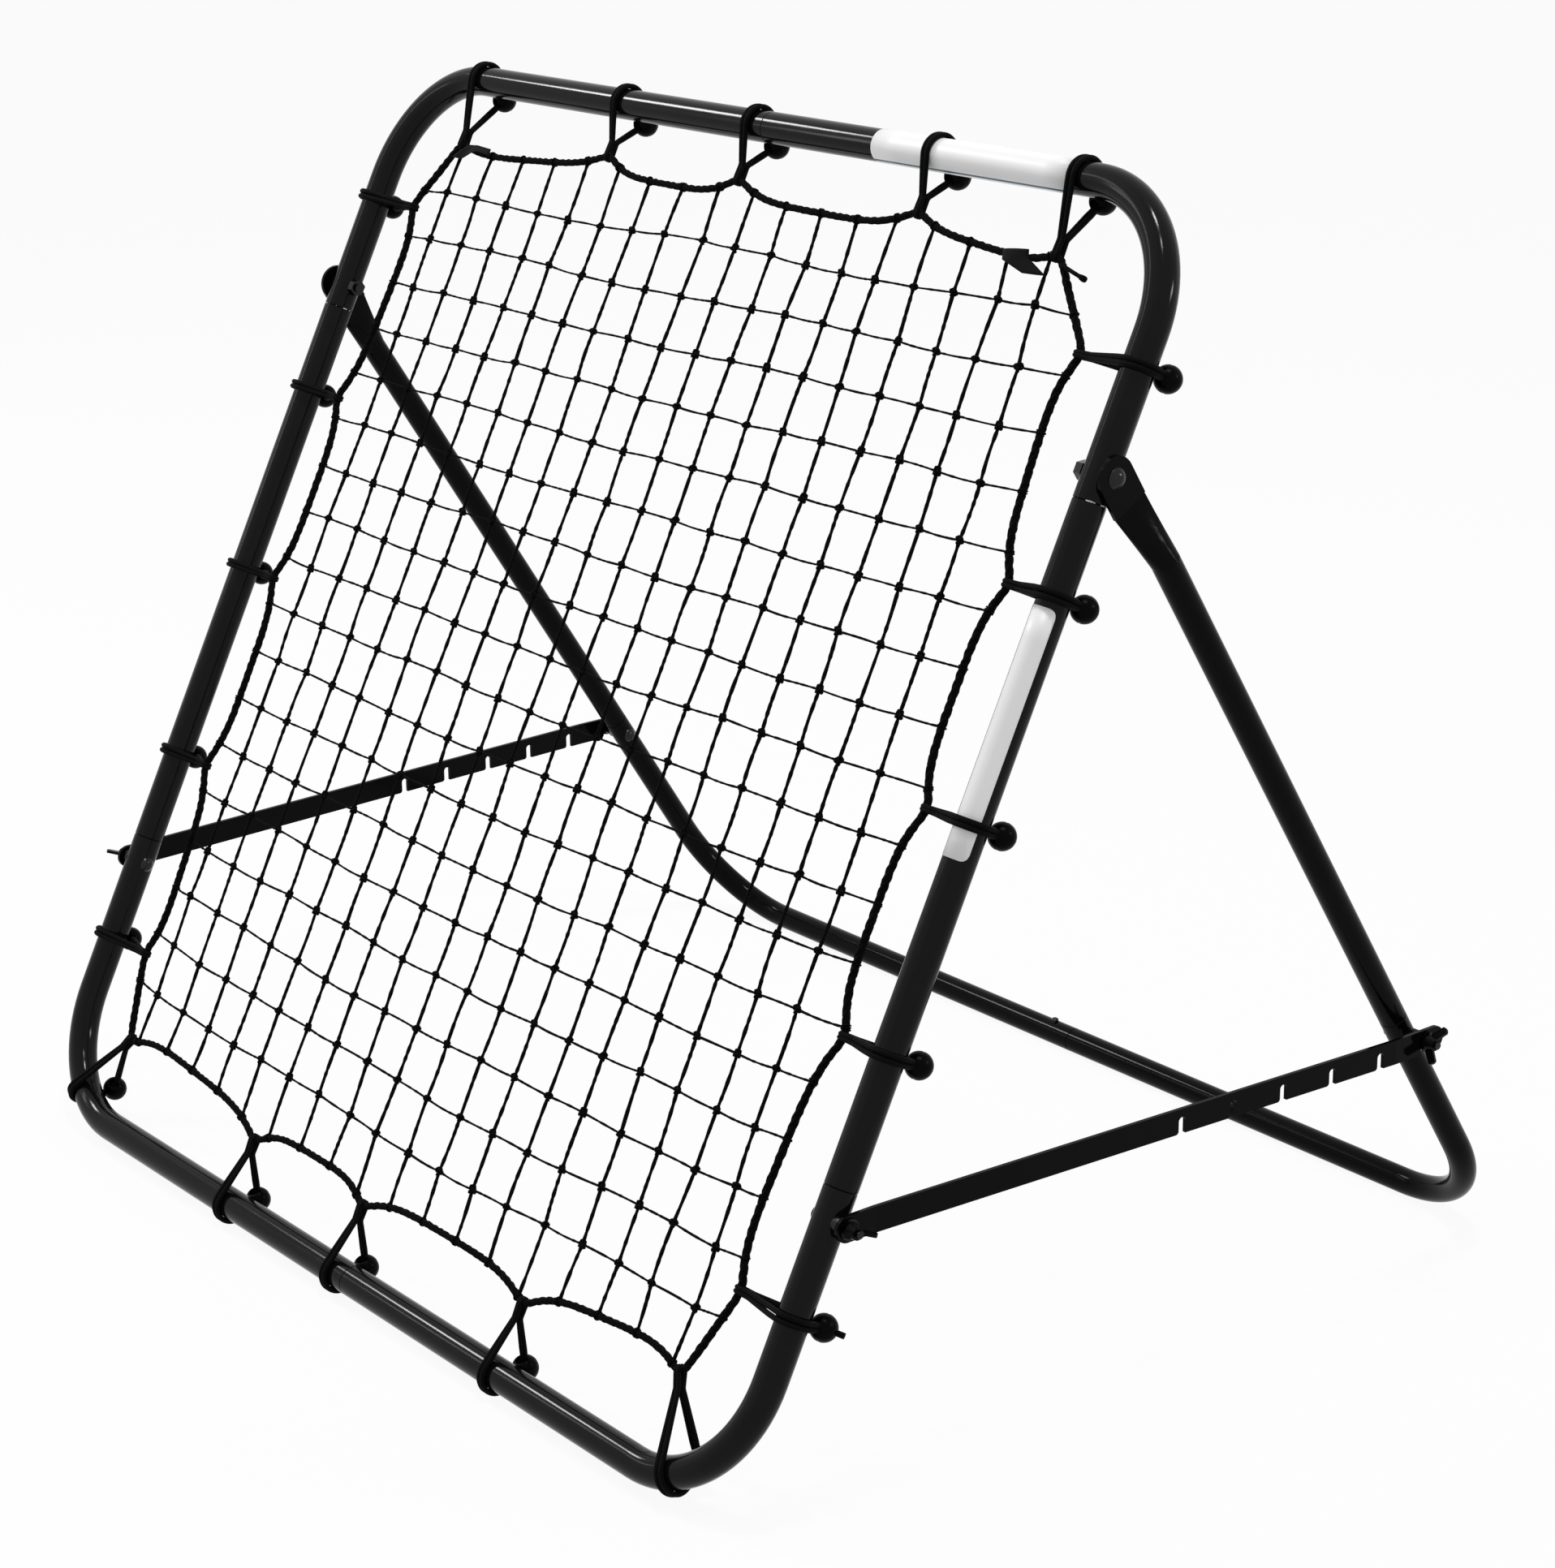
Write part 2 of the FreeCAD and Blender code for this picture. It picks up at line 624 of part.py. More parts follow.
def bar_outline():
    """The bar's side view: y along the bar from its pivot, z across it, with its notches in the lower edge."""
    half = bar_width / 2
    slot = notch_width / 2
    tip = bar_length + bar_end - half
    back = bar_pivot_end - half
    edges = []
    edges.append(Part.Arc(Vector(0, -back, half), Vector(0, -back - half, 0), Vector(0, -back, -half)).toShape())
    cursor = Vector(0, -back, -half)
    for i in range(notch_count):
        y = bar_length - notch_pitch * (notch_count - i)
        mouth = Vector(0, y - slot - notch_corner, -half)
        edges.append(Part.LineSegment(cursor, mouth).toShape())
        lip = Vector(0, y - slot, -half + notch_corner)
        bulge = Vector(0, y - slot - notch_corner * (1 - math.sin(math.pi / 4)),
                       -half + notch_corner * (1 - math.cos(math.pi / 4)))
        edges.append(Part.Arc(mouth, bulge, lip).toShape())
        edges.append(Part.LineSegment(lip, Vector(0, y - slot, 0)).toShape())
        edges.append(Part.Arc(Vector(0, y - slot, 0), Vector(0, y, slot), Vector(0, y + slot, 0)).toShape())
        cursor = Vector(0, y + slot, -half)
        edges.append(Part.LineSegment(Vector(0, y + slot, 0), cursor).toShape())
    lean_out = math.tan(math.radians(hook_slant))
    turn = math.radians(hook_slant)
    left = Vector(0, bar_length - slot * math.cos(turn), slot * math.sin(turn))
    foot = Vector(0, left.y - (left.z + half) * lean_out, -half)
    edges.append(Part.LineSegment(cursor, foot).toShape())
    edges.append(Part.LineSegment(foot, left).toShape())
    crown = Vector(0, bar_length + slot * math.sin(math.pi / 4 - turn / 2),
                   slot * math.cos(math.pi / 4 - turn / 2))
    edges.append(Part.Arc(left, crown, Vector(0, bar_length + slot, 0)).toShape())
    cursor = Vector(0, bar_length + slot, -half)
    edges.append(Part.LineSegment(Vector(0, bar_length + slot, 0), cursor).toShape())
    edges.append(Part.LineSegment(cursor, Vector(0, tip, -half)).toShape())
    edges.append(Part.Arc(Vector(0, tip, -half), Vector(0, tip + half, 0), Vector(0, tip, half)).toShape())
    edges.append(Part.LineSegment(Vector(0, tip, half), Vector(0, -back, half)).toShape())
    return Part.Face(Part.Wire(edges))


def bar(side):
    """A flat bar with a level pad at each end, sprung outward between them to pass outside the leg."""
    reach = bar_length + bar_end
    run = [
        (bar_face, -bar_pivot_end - 1),
        (bar_face, pivot_pad),
        (hook_face, bar_length - hook_pad),
        (hook_face, reach + 1),
    ]
    corners = [Vector(x, y, -bar_width) for x, y in run]
    corners += [Vector(x + bar_thickness, y, -bar_width) for x, y in reversed(run)]
    strip = Part.Face(Part.makePolygon(corners + corners[:1])).extrude(Z * bar_width * 2)
    outline = bar_outline().extrude(X * (hook_face + bar_thickness * 2))
    shape = strip.common(outline)
    hole = rod(bar_bolt / 2 + running_clearance, Vector(0, 0, 0), Vector(hook_face, 0, 0))
    shape = one_piece(shape.cut(hole))
    return seat_at_side(shape, side)


def snap_button():
    """A domed pin that stands out of the cross tube, with a flange that stays inside it."""
    centre, up = button_frame()
    bore = rear_r - 2 * rear_wall - spigot_clearance
    flange_top = centre + up * (math.sqrt(bore ** 2 - (button_flange / 2) ** 2) - face_gap)
    flange_low = flange_top - up * button_flange_height
    flange = rod(button_flange / 2, flange_low, flange_top)
    shoulder = centre + up * (rear_r + button_rise - button_dome)
    pin = rod(button_diameter / 2, flange_low, shoulder)
    head = dome(button_diameter / 2, button_dome, shoulder, up)
    return one_piece(pin.fuse([flange, head])), flange_low


def snap_spring(flange_low):
    """The bent strip inside the cross tube that pushes the button out."""
    centre, up = button_frame()
    bore = rear_r - 2 * rear_wall - spigot_clearance
    floor = centre - up * (bore - spring_gap)
    top = (flange_low - floor).dot(up)
    wide = X.cross(up)
    half = spring_length / 2
    bend = half * spring_bend
    knee = top / 2
    under = top - spring_strip
    line = [(-half, 0.0), (bend, 0.0), (half, knee / 2), (half, knee), (bend, under - spring_gap), (0, under),
            (-spring_tongue, under)]
    far = half + spring_strip
    upper = [(-spring_tongue, top - 0.05), (0, top - 0.05), (bend + spring_gap, top - 0.3), (far, knee + 0.3),
             (far, knee / 2 - 0.2), (bend + spring_gap, 0.0), (-half, 0.0)]
    inner = [(x, y + (spring_strip if y == 0.0 else 0.0)) for x, y in line]
    corners = [floor + X * x + up * y - wide * (spring_width / 2) for x, y in inner + upper]
    return Part.Face(Part.makePolygon(corners + corners[:1])).extrude(wide * spring_width)


# Where the flat drawings stand. The bottom bungees carry the front, pressed flat on the ground, and the
# rear cross tube carries the rear.


def turned(shape, angle, shift):
    moved = shape.copy()
    moved.rotate(Vector(0, 0, 0), X, math.degrees(angle))
    moved.translate(shift)
    return moved


sample = turned(bungee(Vector(0, 0, 0), Y * -1, bottom_reach, level_ball), lean, Vector(0, 0, 0))
tube_height = -sample.BoundBox.ZMin - wrap_flat
hinge_y = hinge_up * math.cos(lean)
hinge_z = tube_height + hinge_up * math.sin(lean)
leg_drop = math.asin((hinge_z - rear_r) / leg_length)
cross_y = hinge_y + leg_length * math.cos(leg_drop)
middle_y = (sample.BoundBox.YMin + cross_y + rear_r) / 2
frame_shift = Vector(0, -middle_y, tube_height)
hinge_point = Vector(0, hinge_y - middle_y, hinge_z)
leg_turn = math.pi - leg_drop
pivot_point = Vector(0, pivot_up * math.cos(lean) - middle_y, tube_height + pivot_up * math.sin(lean))
hook_point = hinge_point + Vector(0, math.cos(leg_drop), -math.sin(leg_drop)) * hook_down
bar_length = (hook_point - pivot_point).Length
bar_turn = math.atan2(hook_point.z - pivot_point.z, hook_point.y - pivot_point.y)


def on_frame(shape):
    return turned(shape, lean, frame_shift)


def on_support(shape):
    return turned(shape, leg_turn, hinge_point)


def on_bar(shape):
    return turned(shape, bar_turn, pivot_point)


def add_frame():
    for side, word in ((-1, "left"), (1, "right")):
        parts[f"top_{word}_corner_tube"] = on_frame(corner_tube(side, True))
        parts[f"bottom_{word}_corner_tube"] = on_frame(corner_tube(side, False))
        parts[f"{word}_side_tube"] = on_frame(side_tube(side))


def add_net():
    sheet, gaps = net_sheet()
    print("net gaps", gaps)
    parts["net"] = on_frame(sheet)
    rope = faceted_cord(rope_outline(), X, Y, Vector(0, 0, 0), rope_r, rope_sides, True)
    parts["border_rope"] = on_frame(rope)


def add_bungees():
    ground = Part.makeBox(2 * frame_width, frame_height, tube_diameter, Vector(-frame_width, -frame_height,
                                                                              -tube_diameter))
    balls = {}
    for side, index, station, outward, reach, ball in all_stations():
        cord = on_frame(bungee(station, outward, reach, ball))
        if cord.BoundBox.ZMin < 0:
            cord = one_piece(cord.cut(ground))
        parts[f"{side}_bungee_{index + 1}"] = cord
        balls.setdefault(side, []).append(on_frame(bungee_ball(station, outward, reach, ball)))
    for side, solids in balls.items():
        parts[f"{side}_bungee_balls"] = Part.makeCompound(solids)


def add_fastenings():
    hinge_nuts, hinge_washers, saddles, pivot_washers, spacers, hook_washers = [], [], [], [], [], []
    for side, word in ((-1, "left"), (1, "right")):
        bolt, nut, washer = hinge_set(side)
        parts[f"{word}_hinge_bolt"] = on_frame(bolt)
        hinge_nuts.append(on_frame(nut))
        hinge_washers.append(on_frame(washer))
        bolt, curved, washer, nut = pivot_set(side)
        parts[f"{word}_pivot_bolt"] = on_frame(bolt)
        saddles.append(on_frame(curved))
        pivot_washers.append(on_frame(washer))
        parts[f"{word}_pivot_wing_nut"] = on_frame(nut)
        bolt, spacer, washer, nut = hook_set(side)
        parts[f"{word}_hook_bolt"] = on_support(bolt)
        spacers.append(on_support(spacer))
        hook_washers.append(on_support(washer))
        parts[f"{word}_hook_wing_nut"] = on_support(nut)
        parts[f"{word}_notched_bar"] = on_bar(bar(side))
    parts["hinge_nuts"] = Part.makeCompound(hinge_nuts)
    parts["hinge_saddle_washers"] = Part.makeCompound(hinge_washers)
    parts["pivot_saddle_washers"] = Part.makeCompound(saddles)
    parts["pivot_washers"] = Part.makeCompound(pivot_washers)
    parts["hook_spacers"] = Part.makeCompound(spacers)
    parts["hook_washers"] = Part.makeCompound(hook_washers)


def add_support():
    for side, word in ((-1, "left"), (1, "right")):
        parts[f"{word}_leg_tube"] = on_support(leg_tube(side))
        parts[f"rear_{word}_corner_tube"] = on_support(rear_corner(side))
    button, flange_low = snap_button()
    parts["snap_button"] = on_support(button)
    parts["snap_spring"] = on_support(snap_spring(flange_low))


add_frame()
add_net()
add_bungees()
add_fastenings()
add_support()

os.makedirs("parts", exist_ok=True)
for name, shape in parts.items():
    shape.exportStep(f"parts/{name}.step")
print(len(parts), "pieces written")
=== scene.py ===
"""Dresses the pitch back rebounder. Its tubes, bars and fastenings get their finishes, its knotted net,
border rope and ball bungees replace the plain solids, and its labels and tags are added. All sizes are in
metres."""
import json
import math
import random

import bpy
from bpy.props import FloatProperty, FloatVectorProperty, IntProperty, PointerProperty
from mathutils import Matrix, Vector


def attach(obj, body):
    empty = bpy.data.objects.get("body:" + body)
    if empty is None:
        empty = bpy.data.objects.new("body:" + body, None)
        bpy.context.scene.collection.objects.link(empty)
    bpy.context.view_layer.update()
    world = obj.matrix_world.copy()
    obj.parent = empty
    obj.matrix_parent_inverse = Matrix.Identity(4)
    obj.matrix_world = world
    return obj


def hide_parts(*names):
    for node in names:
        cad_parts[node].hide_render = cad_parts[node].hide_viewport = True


bl_info = {
    "name": "Pitch back rebounder",
    "version": (1, 0, 0),
    "blender": (4, 5, 0),
    "location": "3D View > Sidebar > Rebounder",
    "description": "Builds the net, cords, labels and finishes of a pitch back rebounder around its frame",
    "category": "Object",
}

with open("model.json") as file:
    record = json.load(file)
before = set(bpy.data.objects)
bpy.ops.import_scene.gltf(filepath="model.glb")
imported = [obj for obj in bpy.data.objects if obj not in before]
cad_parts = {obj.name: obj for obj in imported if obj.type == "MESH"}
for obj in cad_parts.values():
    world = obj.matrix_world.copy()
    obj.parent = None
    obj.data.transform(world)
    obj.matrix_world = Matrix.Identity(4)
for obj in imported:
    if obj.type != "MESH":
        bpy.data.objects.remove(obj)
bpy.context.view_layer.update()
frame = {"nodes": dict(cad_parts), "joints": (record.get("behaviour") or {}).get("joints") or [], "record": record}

# the tubes' sizes and the places that the source gives them, up the slope from the bottom tube
TUBE_RADIUS = 0.0127
CORNER_RADIUS = 0.100
HINGE_UP = 0.771
PIVOT_UP = 0.221
HINGE_TO_SEAM = 0.021
SLOPE_LENGTH = 0.9746

# the bungees, as in the source: how far each reaches into the net, and where its ball sits
CORD_CLEARANCE = 0.0003
TOP_REACH = 0.046
SIDE_REACH = 0.048
BOTTOM_REACH = 0.057
END_REACH = 0.059
BEND_REACH = 0.072
LEVEL_BALL = (-0.008, 0.0245)
UPRIGHT_BALL = (0.008, 0.0232)

# a bungee's loop: how deep it sits in its ball, where its strands meet, and its turn round the rope
BALL_SEAT = 0.004
PINCH_LENGTH = 0.0125
ANCHOR_RADIUS = 0.0034
BUNGEE_STEP = 0.0022

# the border rope: its straight stretch in each bungee, and the scallops between them
ANCHOR_FLAT = 0.004
SCALLOP_DEPTH = 0.014
END_SCALLOP_DEPTH = 0.009
SCALLOP_POWER = 4.0
SCALLOP_STEPS = 32
ROPE_STEP = 0.003
ROPE_ROUNDINGS = 4

# the net's lowest row, height and half width, and the places beyond the rope that its strings are aimed at
NET_FOOT = 0.116
NET_HEIGHT = 0.751
NET_HALF = 0.385
NET_END = (0.10, 0.93)
NET_SIDE = 0.43

# how the hanging net differs from an even grid: wider at the foot, pulled left at the top, with bowed rows
FOOT_SPREAD = 0.007
TOP_PULL = 0.011
MIDDLE_LIFT = 0.009
LIFT_TURN = 2.1
FOOT_DROP = 0.0024
EDGE_LIFT = 0.009
ROW_TILT = 0.0045
LEVEL_ROW = 0.35

# how far single strings and knots stray: in the middle of the net, and how much more at its foot and top
COLUMN_SWAY = (0.0011, 0.0016)
ROW_SWELL = (0.0009, 0.0012)
KNOT_PLAY = 0.0009
KNOT_DEPTH = 0.0005
STRING_BOW = 0.0006
STRING_DROOP = (-0.0010, 0.0004)

# how near the rope a string's last knot may be
KNOT_MARGIN = 0.012

# the labels: where each starts, its length, the angles it is wrapped between, and the band across it
TOP_LABEL_START = 0.149
TOP_LABEL_LENGTH = 0.218
TOP_LABEL_WRAP = (math.radians(12), math.radians(196))
SIDE_LABEL_START = 0.486
SIDE_LABEL_LENGTH = 0.185
SIDE_LABEL_WRAP = (math.radians(21), math.radians(146))
LABEL_BAND = (0.80, 0.86)

# the woven tags: pairs of points on the ribbon's two edges, across and up the slope
RIGHT_TAG = [((0.320, 0.913), (0.346, 0.916)), ((0.324, 0.9046), (0.3475, 0.9098)),
             ((0.3478, 0.8978), (0.3706, 0.8994))]
LEFT_TAG = [((-0.336, 0.909), (-0.3395, 0.9155)), ((-0.3576, 0.911), (-0.3616, 0.917)),
            ((-0.3659, 0.909), (-0.374, 0.916)), ((-0.373, 0.906), (-0.383, 0.909)),
            ((-0.380, 0.9024), (-0.3896, 0.9023))]

# the rope's loose end: where it starts, and how far it runs across and down
ROPE_END_START = (0.384, 0.909)
ROPE_END_RUN = (0.029, 0.0075)
ROPE_END_RADIUS = 0.0016

SIDES = ("top", "right", "left", "bottom")

joints = {joint["name"]: joint for joint in frame["joints"]}
hinge_point = Vector(joints["support_fold"]["pos_m"])
pivot_point = Vector(joints["right_bar_swing"]["pos_m"])
half_width = pivot_point.x
up_slope = Vector((0, hinge_point.y - pivot_point.y, hinge_point.z - pivot_point.z)).normalized()
front = Vector((0, -up_slope.z, up_slope.y))
foot = Vector((0, pivot_point.y, pivot_point.z)) - up_slope * PIVOT_UP


def place(flat):
    """A point of the frame's flat drawing: x across, y up the slope, z ahead of the tubes' plane."""
    return foot + Vector((flat.x, 0, 0)) + up_slope * flat.y + front * flat.z


class Wire:
    """A socket's output, with the operators that add Math nodes."""

    def __init__(self, nodes, socket):
        self.nodes = nodes
        self.socket = socket

    def math(self, operation, first, second=0.0):
        return self.nodes.node("ShaderNodeMath", {"operation": operation}, {0: first, 1: second})

    def __add__(self, other):
        return self.math("ADD", self, other)

    def __radd__(self, other):
        return self.math("ADD", other, self)

    def __sub__(self, other):
        return self.math("SUBTRACT", self, other)

    def __rsub__(self, other):
        return self.math("SUBTRACT", other, self)

    def __mul__(self, other):
        return self.math("MULTIPLY", self, other)

    def __rmul__(self, other):
        return self.math("MULTIPLY", other, self)

    def __gt__(self, other):
        return self.math("GREATER_THAN", self, other)

    def __lt__(self, other):
        return self.math("LESS_THAN", self, other)

    def sine(self):
        return self.math("SINE", self)

    def size(self):
        return self.math("ABSOLUTE", self)

    def larger(self, other):
        return self.math("MAXIMUM", self, other)

    def smaller(self, other):
        return self.math("MINIMUM", self, other)

    def between(self, low, high):
        """0 below low, 1 above high and a soft step between them."""
        settings = {"interpolation_type": "SMOOTHSTEP"}
        sockets = {"Value": self, "From Min": low, "From Max": high}
        return self.nodes.node("ShaderNodeMapRange", settings, sockets)


class Nodes:
    """A node tree, with one method that adds any node to it."""

    def __init__(self, tree):
        self.tree = tree

    def node(self, kind, settings=None, sockets=None, output=0):
        made = self.tree.nodes.new(kind)
        for name, value in (settings or {}).items():
            setattr(made, name, value)
        for name, value in (sockets or {}).items():
            self.feed(made.inputs[name], value)
        return Wire(self, made.outputs[output])

    def feed(self, socket, value):
        if isinstance(value, Wire):
            self.tree.links.new(value.socket, socket)
        else:
            socket.default_value = value

    def seen(self):
        """1 for rays that show the background: from the camera, and by way of gloss or glass."""
        outputs = self.node("ShaderNodeLightPath").socket.node.outputs
        kinds = ("Is Camera Ray", "Is Glossy Ray", "Is Transmission Ray")
        camera, gloss, glass = (Wire(self, outputs[kind]) for kind in kinds)
        return camera.larger(gloss).larger(glass)


class Finish(Nodes):
    """A material, its shader, and the patterns that its finishes are made from."""

    def __init__(self, name):
        self.material = bpy.data.materials.new(name)
        self.material.use_nodes = True
        super().__init__(self.material.node_tree)
        self.shader = self.tree.nodes["Principled BSDF"]

    def set(self, **sockets):
        """Sets the shader's sockets: Base_Color=..., Roughness=... and so on."""
        for name, value in sockets.items():
            self.feed(self.shader.inputs[name.replace("_", " ")], value)

    def coordinates(self, kind="Object"):
        return self.node("ShaderNodeTexCoord", output=kind)

    def noise(self, scale, detail, vector=None, roughness=0.5):
        where = vector or self.coordinates()
        sockets = {"Vector": where, "Scale": scale, "Detail": detail, "Roughness": roughness}
        return self.node("ShaderNodeTexNoise", {}, sockets)

    def mix(self, factor, first, second):
        return self.node("ShaderNodeMix", {"data_type": "RGBA"}, {0: factor, 6: first, 7: second}, 2)

    def split(self, vector):
        node = self.node("ShaderNodeSeparateXYZ", {}, {"Vector": vector}).socket.node
        return [Wire(self, output) for output in node.outputs]

    def along(self, vector, origin, direction):
        """How far a point lies along a direction from an origin."""
        offset = self.vector_math("SUBTRACT", vector, tuple(origin))
        return self.vector_math("DOT_PRODUCT", offset, tuple(direction), "Value")

    def vector_math(self, operation, first, second, output="Vector"):
        return self.node("ShaderNodeVectorMath", {"operation": operation}, {0: first, 1: second}, output)

    def bump(self, height, depth, strength):
        sockets = {"Height": height, "Distance": depth, "Strength": strength}
        return self.node("ShaderNodeBump", {}, sockets)


def opaque(colour, share=1.0, lift=0.0):
    """A colour for a socket, darker or lighter by a share and a lift."""
    return tuple(c * share + lift for c in colour) + (1.0,)


def powder_coat(name, colour, level, chipped, seam):
    """Semi-gloss black powder coat: fine orange peel, clouds of gloss, and bright chips along a seam."""
    finish = Finish(name)
    where = finish.coordinates()
    peel = finish.noise(scale=900.0, detail=2.0)
    grain = finish.noise(scale=3600.0, detail=1.0)
    cloud = finish.noise(scale=34.0, detail=4.0)
    dust = finish.noise(scale=420.0, detail=6.0, roughness=0.7).between(0.62, 0.78)
    dark = opaque(colour, share=0.8)
    light = opaque(colour, share=1.25, lift=0.0006)
    rise = finish.along(where, foot, up_slope)
    across = finish.split(where)[0].size()
    chip_width = 0.0009
    ragged = finish.noise(scale=300.0, detail=2.0) * chip_width
    by_seam = (rise - seam).size() + ragged < chip_width
    broken = finish.noise(scale=170.0, detail=3.0).between(0.53, 0.58)
    chips = by_seam * broken * (across < half_width + TUBE_RADIUS)
    shade = finish.mix(chips, finish.mix(cloud, dark, light), opaque(chipped))
    finish.set(Base_Color=shade, Roughness=0.09 + cloud * 0.05 + dust * 0.05 + chips * 0.2,
               Specular_IOR_Level=level,
               Normal=finish.bump(peel + grain * 0.35, depth=0.00005, strength=0.25))
    return finish.material


def plated(name, colour, shine, metal, level=0.5):
    """Plated steel: fine turned scratches and a slightly uneven shine."""
    finish = Finish(name)
    drawn_out = finish.vector_math("MULTIPLY", finish.coordinates(), (0.25, 1.0, 1.0))
    fine = finish.noise(scale=2600.0, detail=4.0, vector=drawn_out)
    blotch = finish.noise(scale=160.0, detail=4.0)
    finish.set(Base_Color=finish.mix(blotch, opaque(colour, share=0.78), opaque(colour)), Metallic=metal,
               Roughness=shine + fine * 0.10 + blotch * 0.08, Specular_IOR_Level=level,
               Normal=finish.bump(fine, depth=0.00003, strength=0.6))
    return finish.material


def fibre_painted_shade_and_highlight(finish, pattern, colour, hollow_shade_share):
    """The colour of black fibres: darker in the pattern's hollows and paler on its crowns. Where the pattern
    follows the plies or weave, this is painted shade in the hollows and a painted highlight on the crowns. Where
    it follows the fibre noise, it is random tone.
    """
    dark = opaque(colour, share=hollow_shade_share)
    pale = opaque(colour, share=2.2, lift=0.0004)
    return finish.mix(pattern.smaller(1.0), dark, pale)


def twine_finish(name, colour, turns, lay):
    """Twisted black twine: the plies run round the cord, with short fibres standing off them."""
    finish = Finish(name)
    around, along, _ = finish.split(finish.coordinates("UV"))
    ply = ((around * turns * math.tau + along * lay).sine() * 0.5) + 0.5
    fibre = finish.noise(scale=2400.0, detail=5.0, roughness=0.7)
    # base colour: painted shade in the ply hollows and a painted highlight on their crowns, with random fibre tone
    finish.set(Base_Color=fibre_painted_shade_and_highlight(finish, ply * 0.6 + fibre * 0.6, colour, 0.55),
               Roughness=0.7 + fibre * 0.25, Specular_IOR_Level=0.03, Sheen_Weight=0.006, Sheen_Roughness=0.5,
               Normal=finish.bump(ply + fibre * 0.7, depth=0.0005, strength=0.9))
    return finish.material


def braid_finish(colour):
    """The woven sheath of the elastic cord: two sets of plies that cross over and under."""
    finish = Finish("woven elastic cord")
    around, along, _ = finish.split(finish.coordinates("UV"))
    plies = 8
    lay = 2600.0
    one = (around * (plies * math.tau) + along * lay).sine()
    two = (around * (plies * math.tau) - along * lay).sine()
    weave = one.larger(two) * 0.5 + 0.5
    fibre = finish.noise(scale=3000.0, detail=4.0)
    # base colour: painted shade in the weave's hollows and a painted highlight on its crowns, with random fibre
    # tone
    finish.set(Base_Color=fibre_painted_shade_and_highlight(finish, weave * 0.7 + fibre * 0.3, colour, 0.6),
               Roughness=0.55 + fibre * 0.2, Specular_IOR_Level=0.035,
               Sheen_Weight=0.006, Sheen_Roughness=0.4,
               Normal=finish.bump(weave + fibre * 0.3, depth=0.00035, strength=0.8))
    return finish.material


def tag_finish(colour):
    """Black woven ribbon: fine ribs both ways, with a soft sheen."""
    finish = Finish("black woven tag")
    across, along, _ = finish.split(finish.coordinates("UV"))
    ribs = 5200.0
    weft = (along * ribs).sine() * 0.5 + 0.5
    warp = (across * ribs).sine() * 0.5 + 0.5
    weave = weft.larger(warp)
    fibre = finish.noise(scale=2600.0, detail=4.0)
    # base colour: painted shade between the ribs and a painted highlight on them, with random fibre tone
    finish.set(Base_Color=fibre_painted_shade_and_highlight(finish, weave * 0.6 + fibre * 0.5, colour, 0.6), Roughness=0.7,
               Specular_IOR_Level=0.06, Sheen_Weight=0.015, Sheen_Roughness=0.4,
               Normal=finish.bump(weave + fibre * 0.4, depth=0.0002, strength=0.8))
    return finish.material


def moulded_finish(colour):
    """Glossy moulded plastic with faint flow marks."""
    finish = Finish("glossy black plastic")
    flow = finish.noise(scale=90.0, detail=4.0)
    fine = finish.noise(scale=900.0, detail=3.0)
    dark = opaque(colour, share=0.8)
    light = opaque(colour, share=1.4, lift=0.0006)
    finish.set(Base_Color=finish.mix(flow, dark, light), Roughness=0.2 + flow * 0.1 + fine * 0.05,
               Specular_IOR_Level=0.03, Normal=finish.bump(flow + fine * 0.4, depth=0.00004, strength=0.5))
    return finish.material


def vinyl_finish(paper, ink, band):
    """White vinyl with a thin printed band near one long edge."""
    finish = Finish("white vinyl label")
    across = finish.split(finish.coordinates("UV"))[0]
    fine = finish.noise(scale=700.0, detail=3.0)
    printed = (across > band[0]) * (across < band[1])
    shade = finish.mix(fine * 0.12, opaque(paper), opaque(paper, share=0.86))
    finish.set(Base_Color=finish.mix(printed, shade, opaque(ink)), Roughness=0.36 + fine * 0.12,
               Specular_IOR_Level=0.4, Normal=finish.bump(fine, depth=0.00003, strength=0.5))
    return finish.material


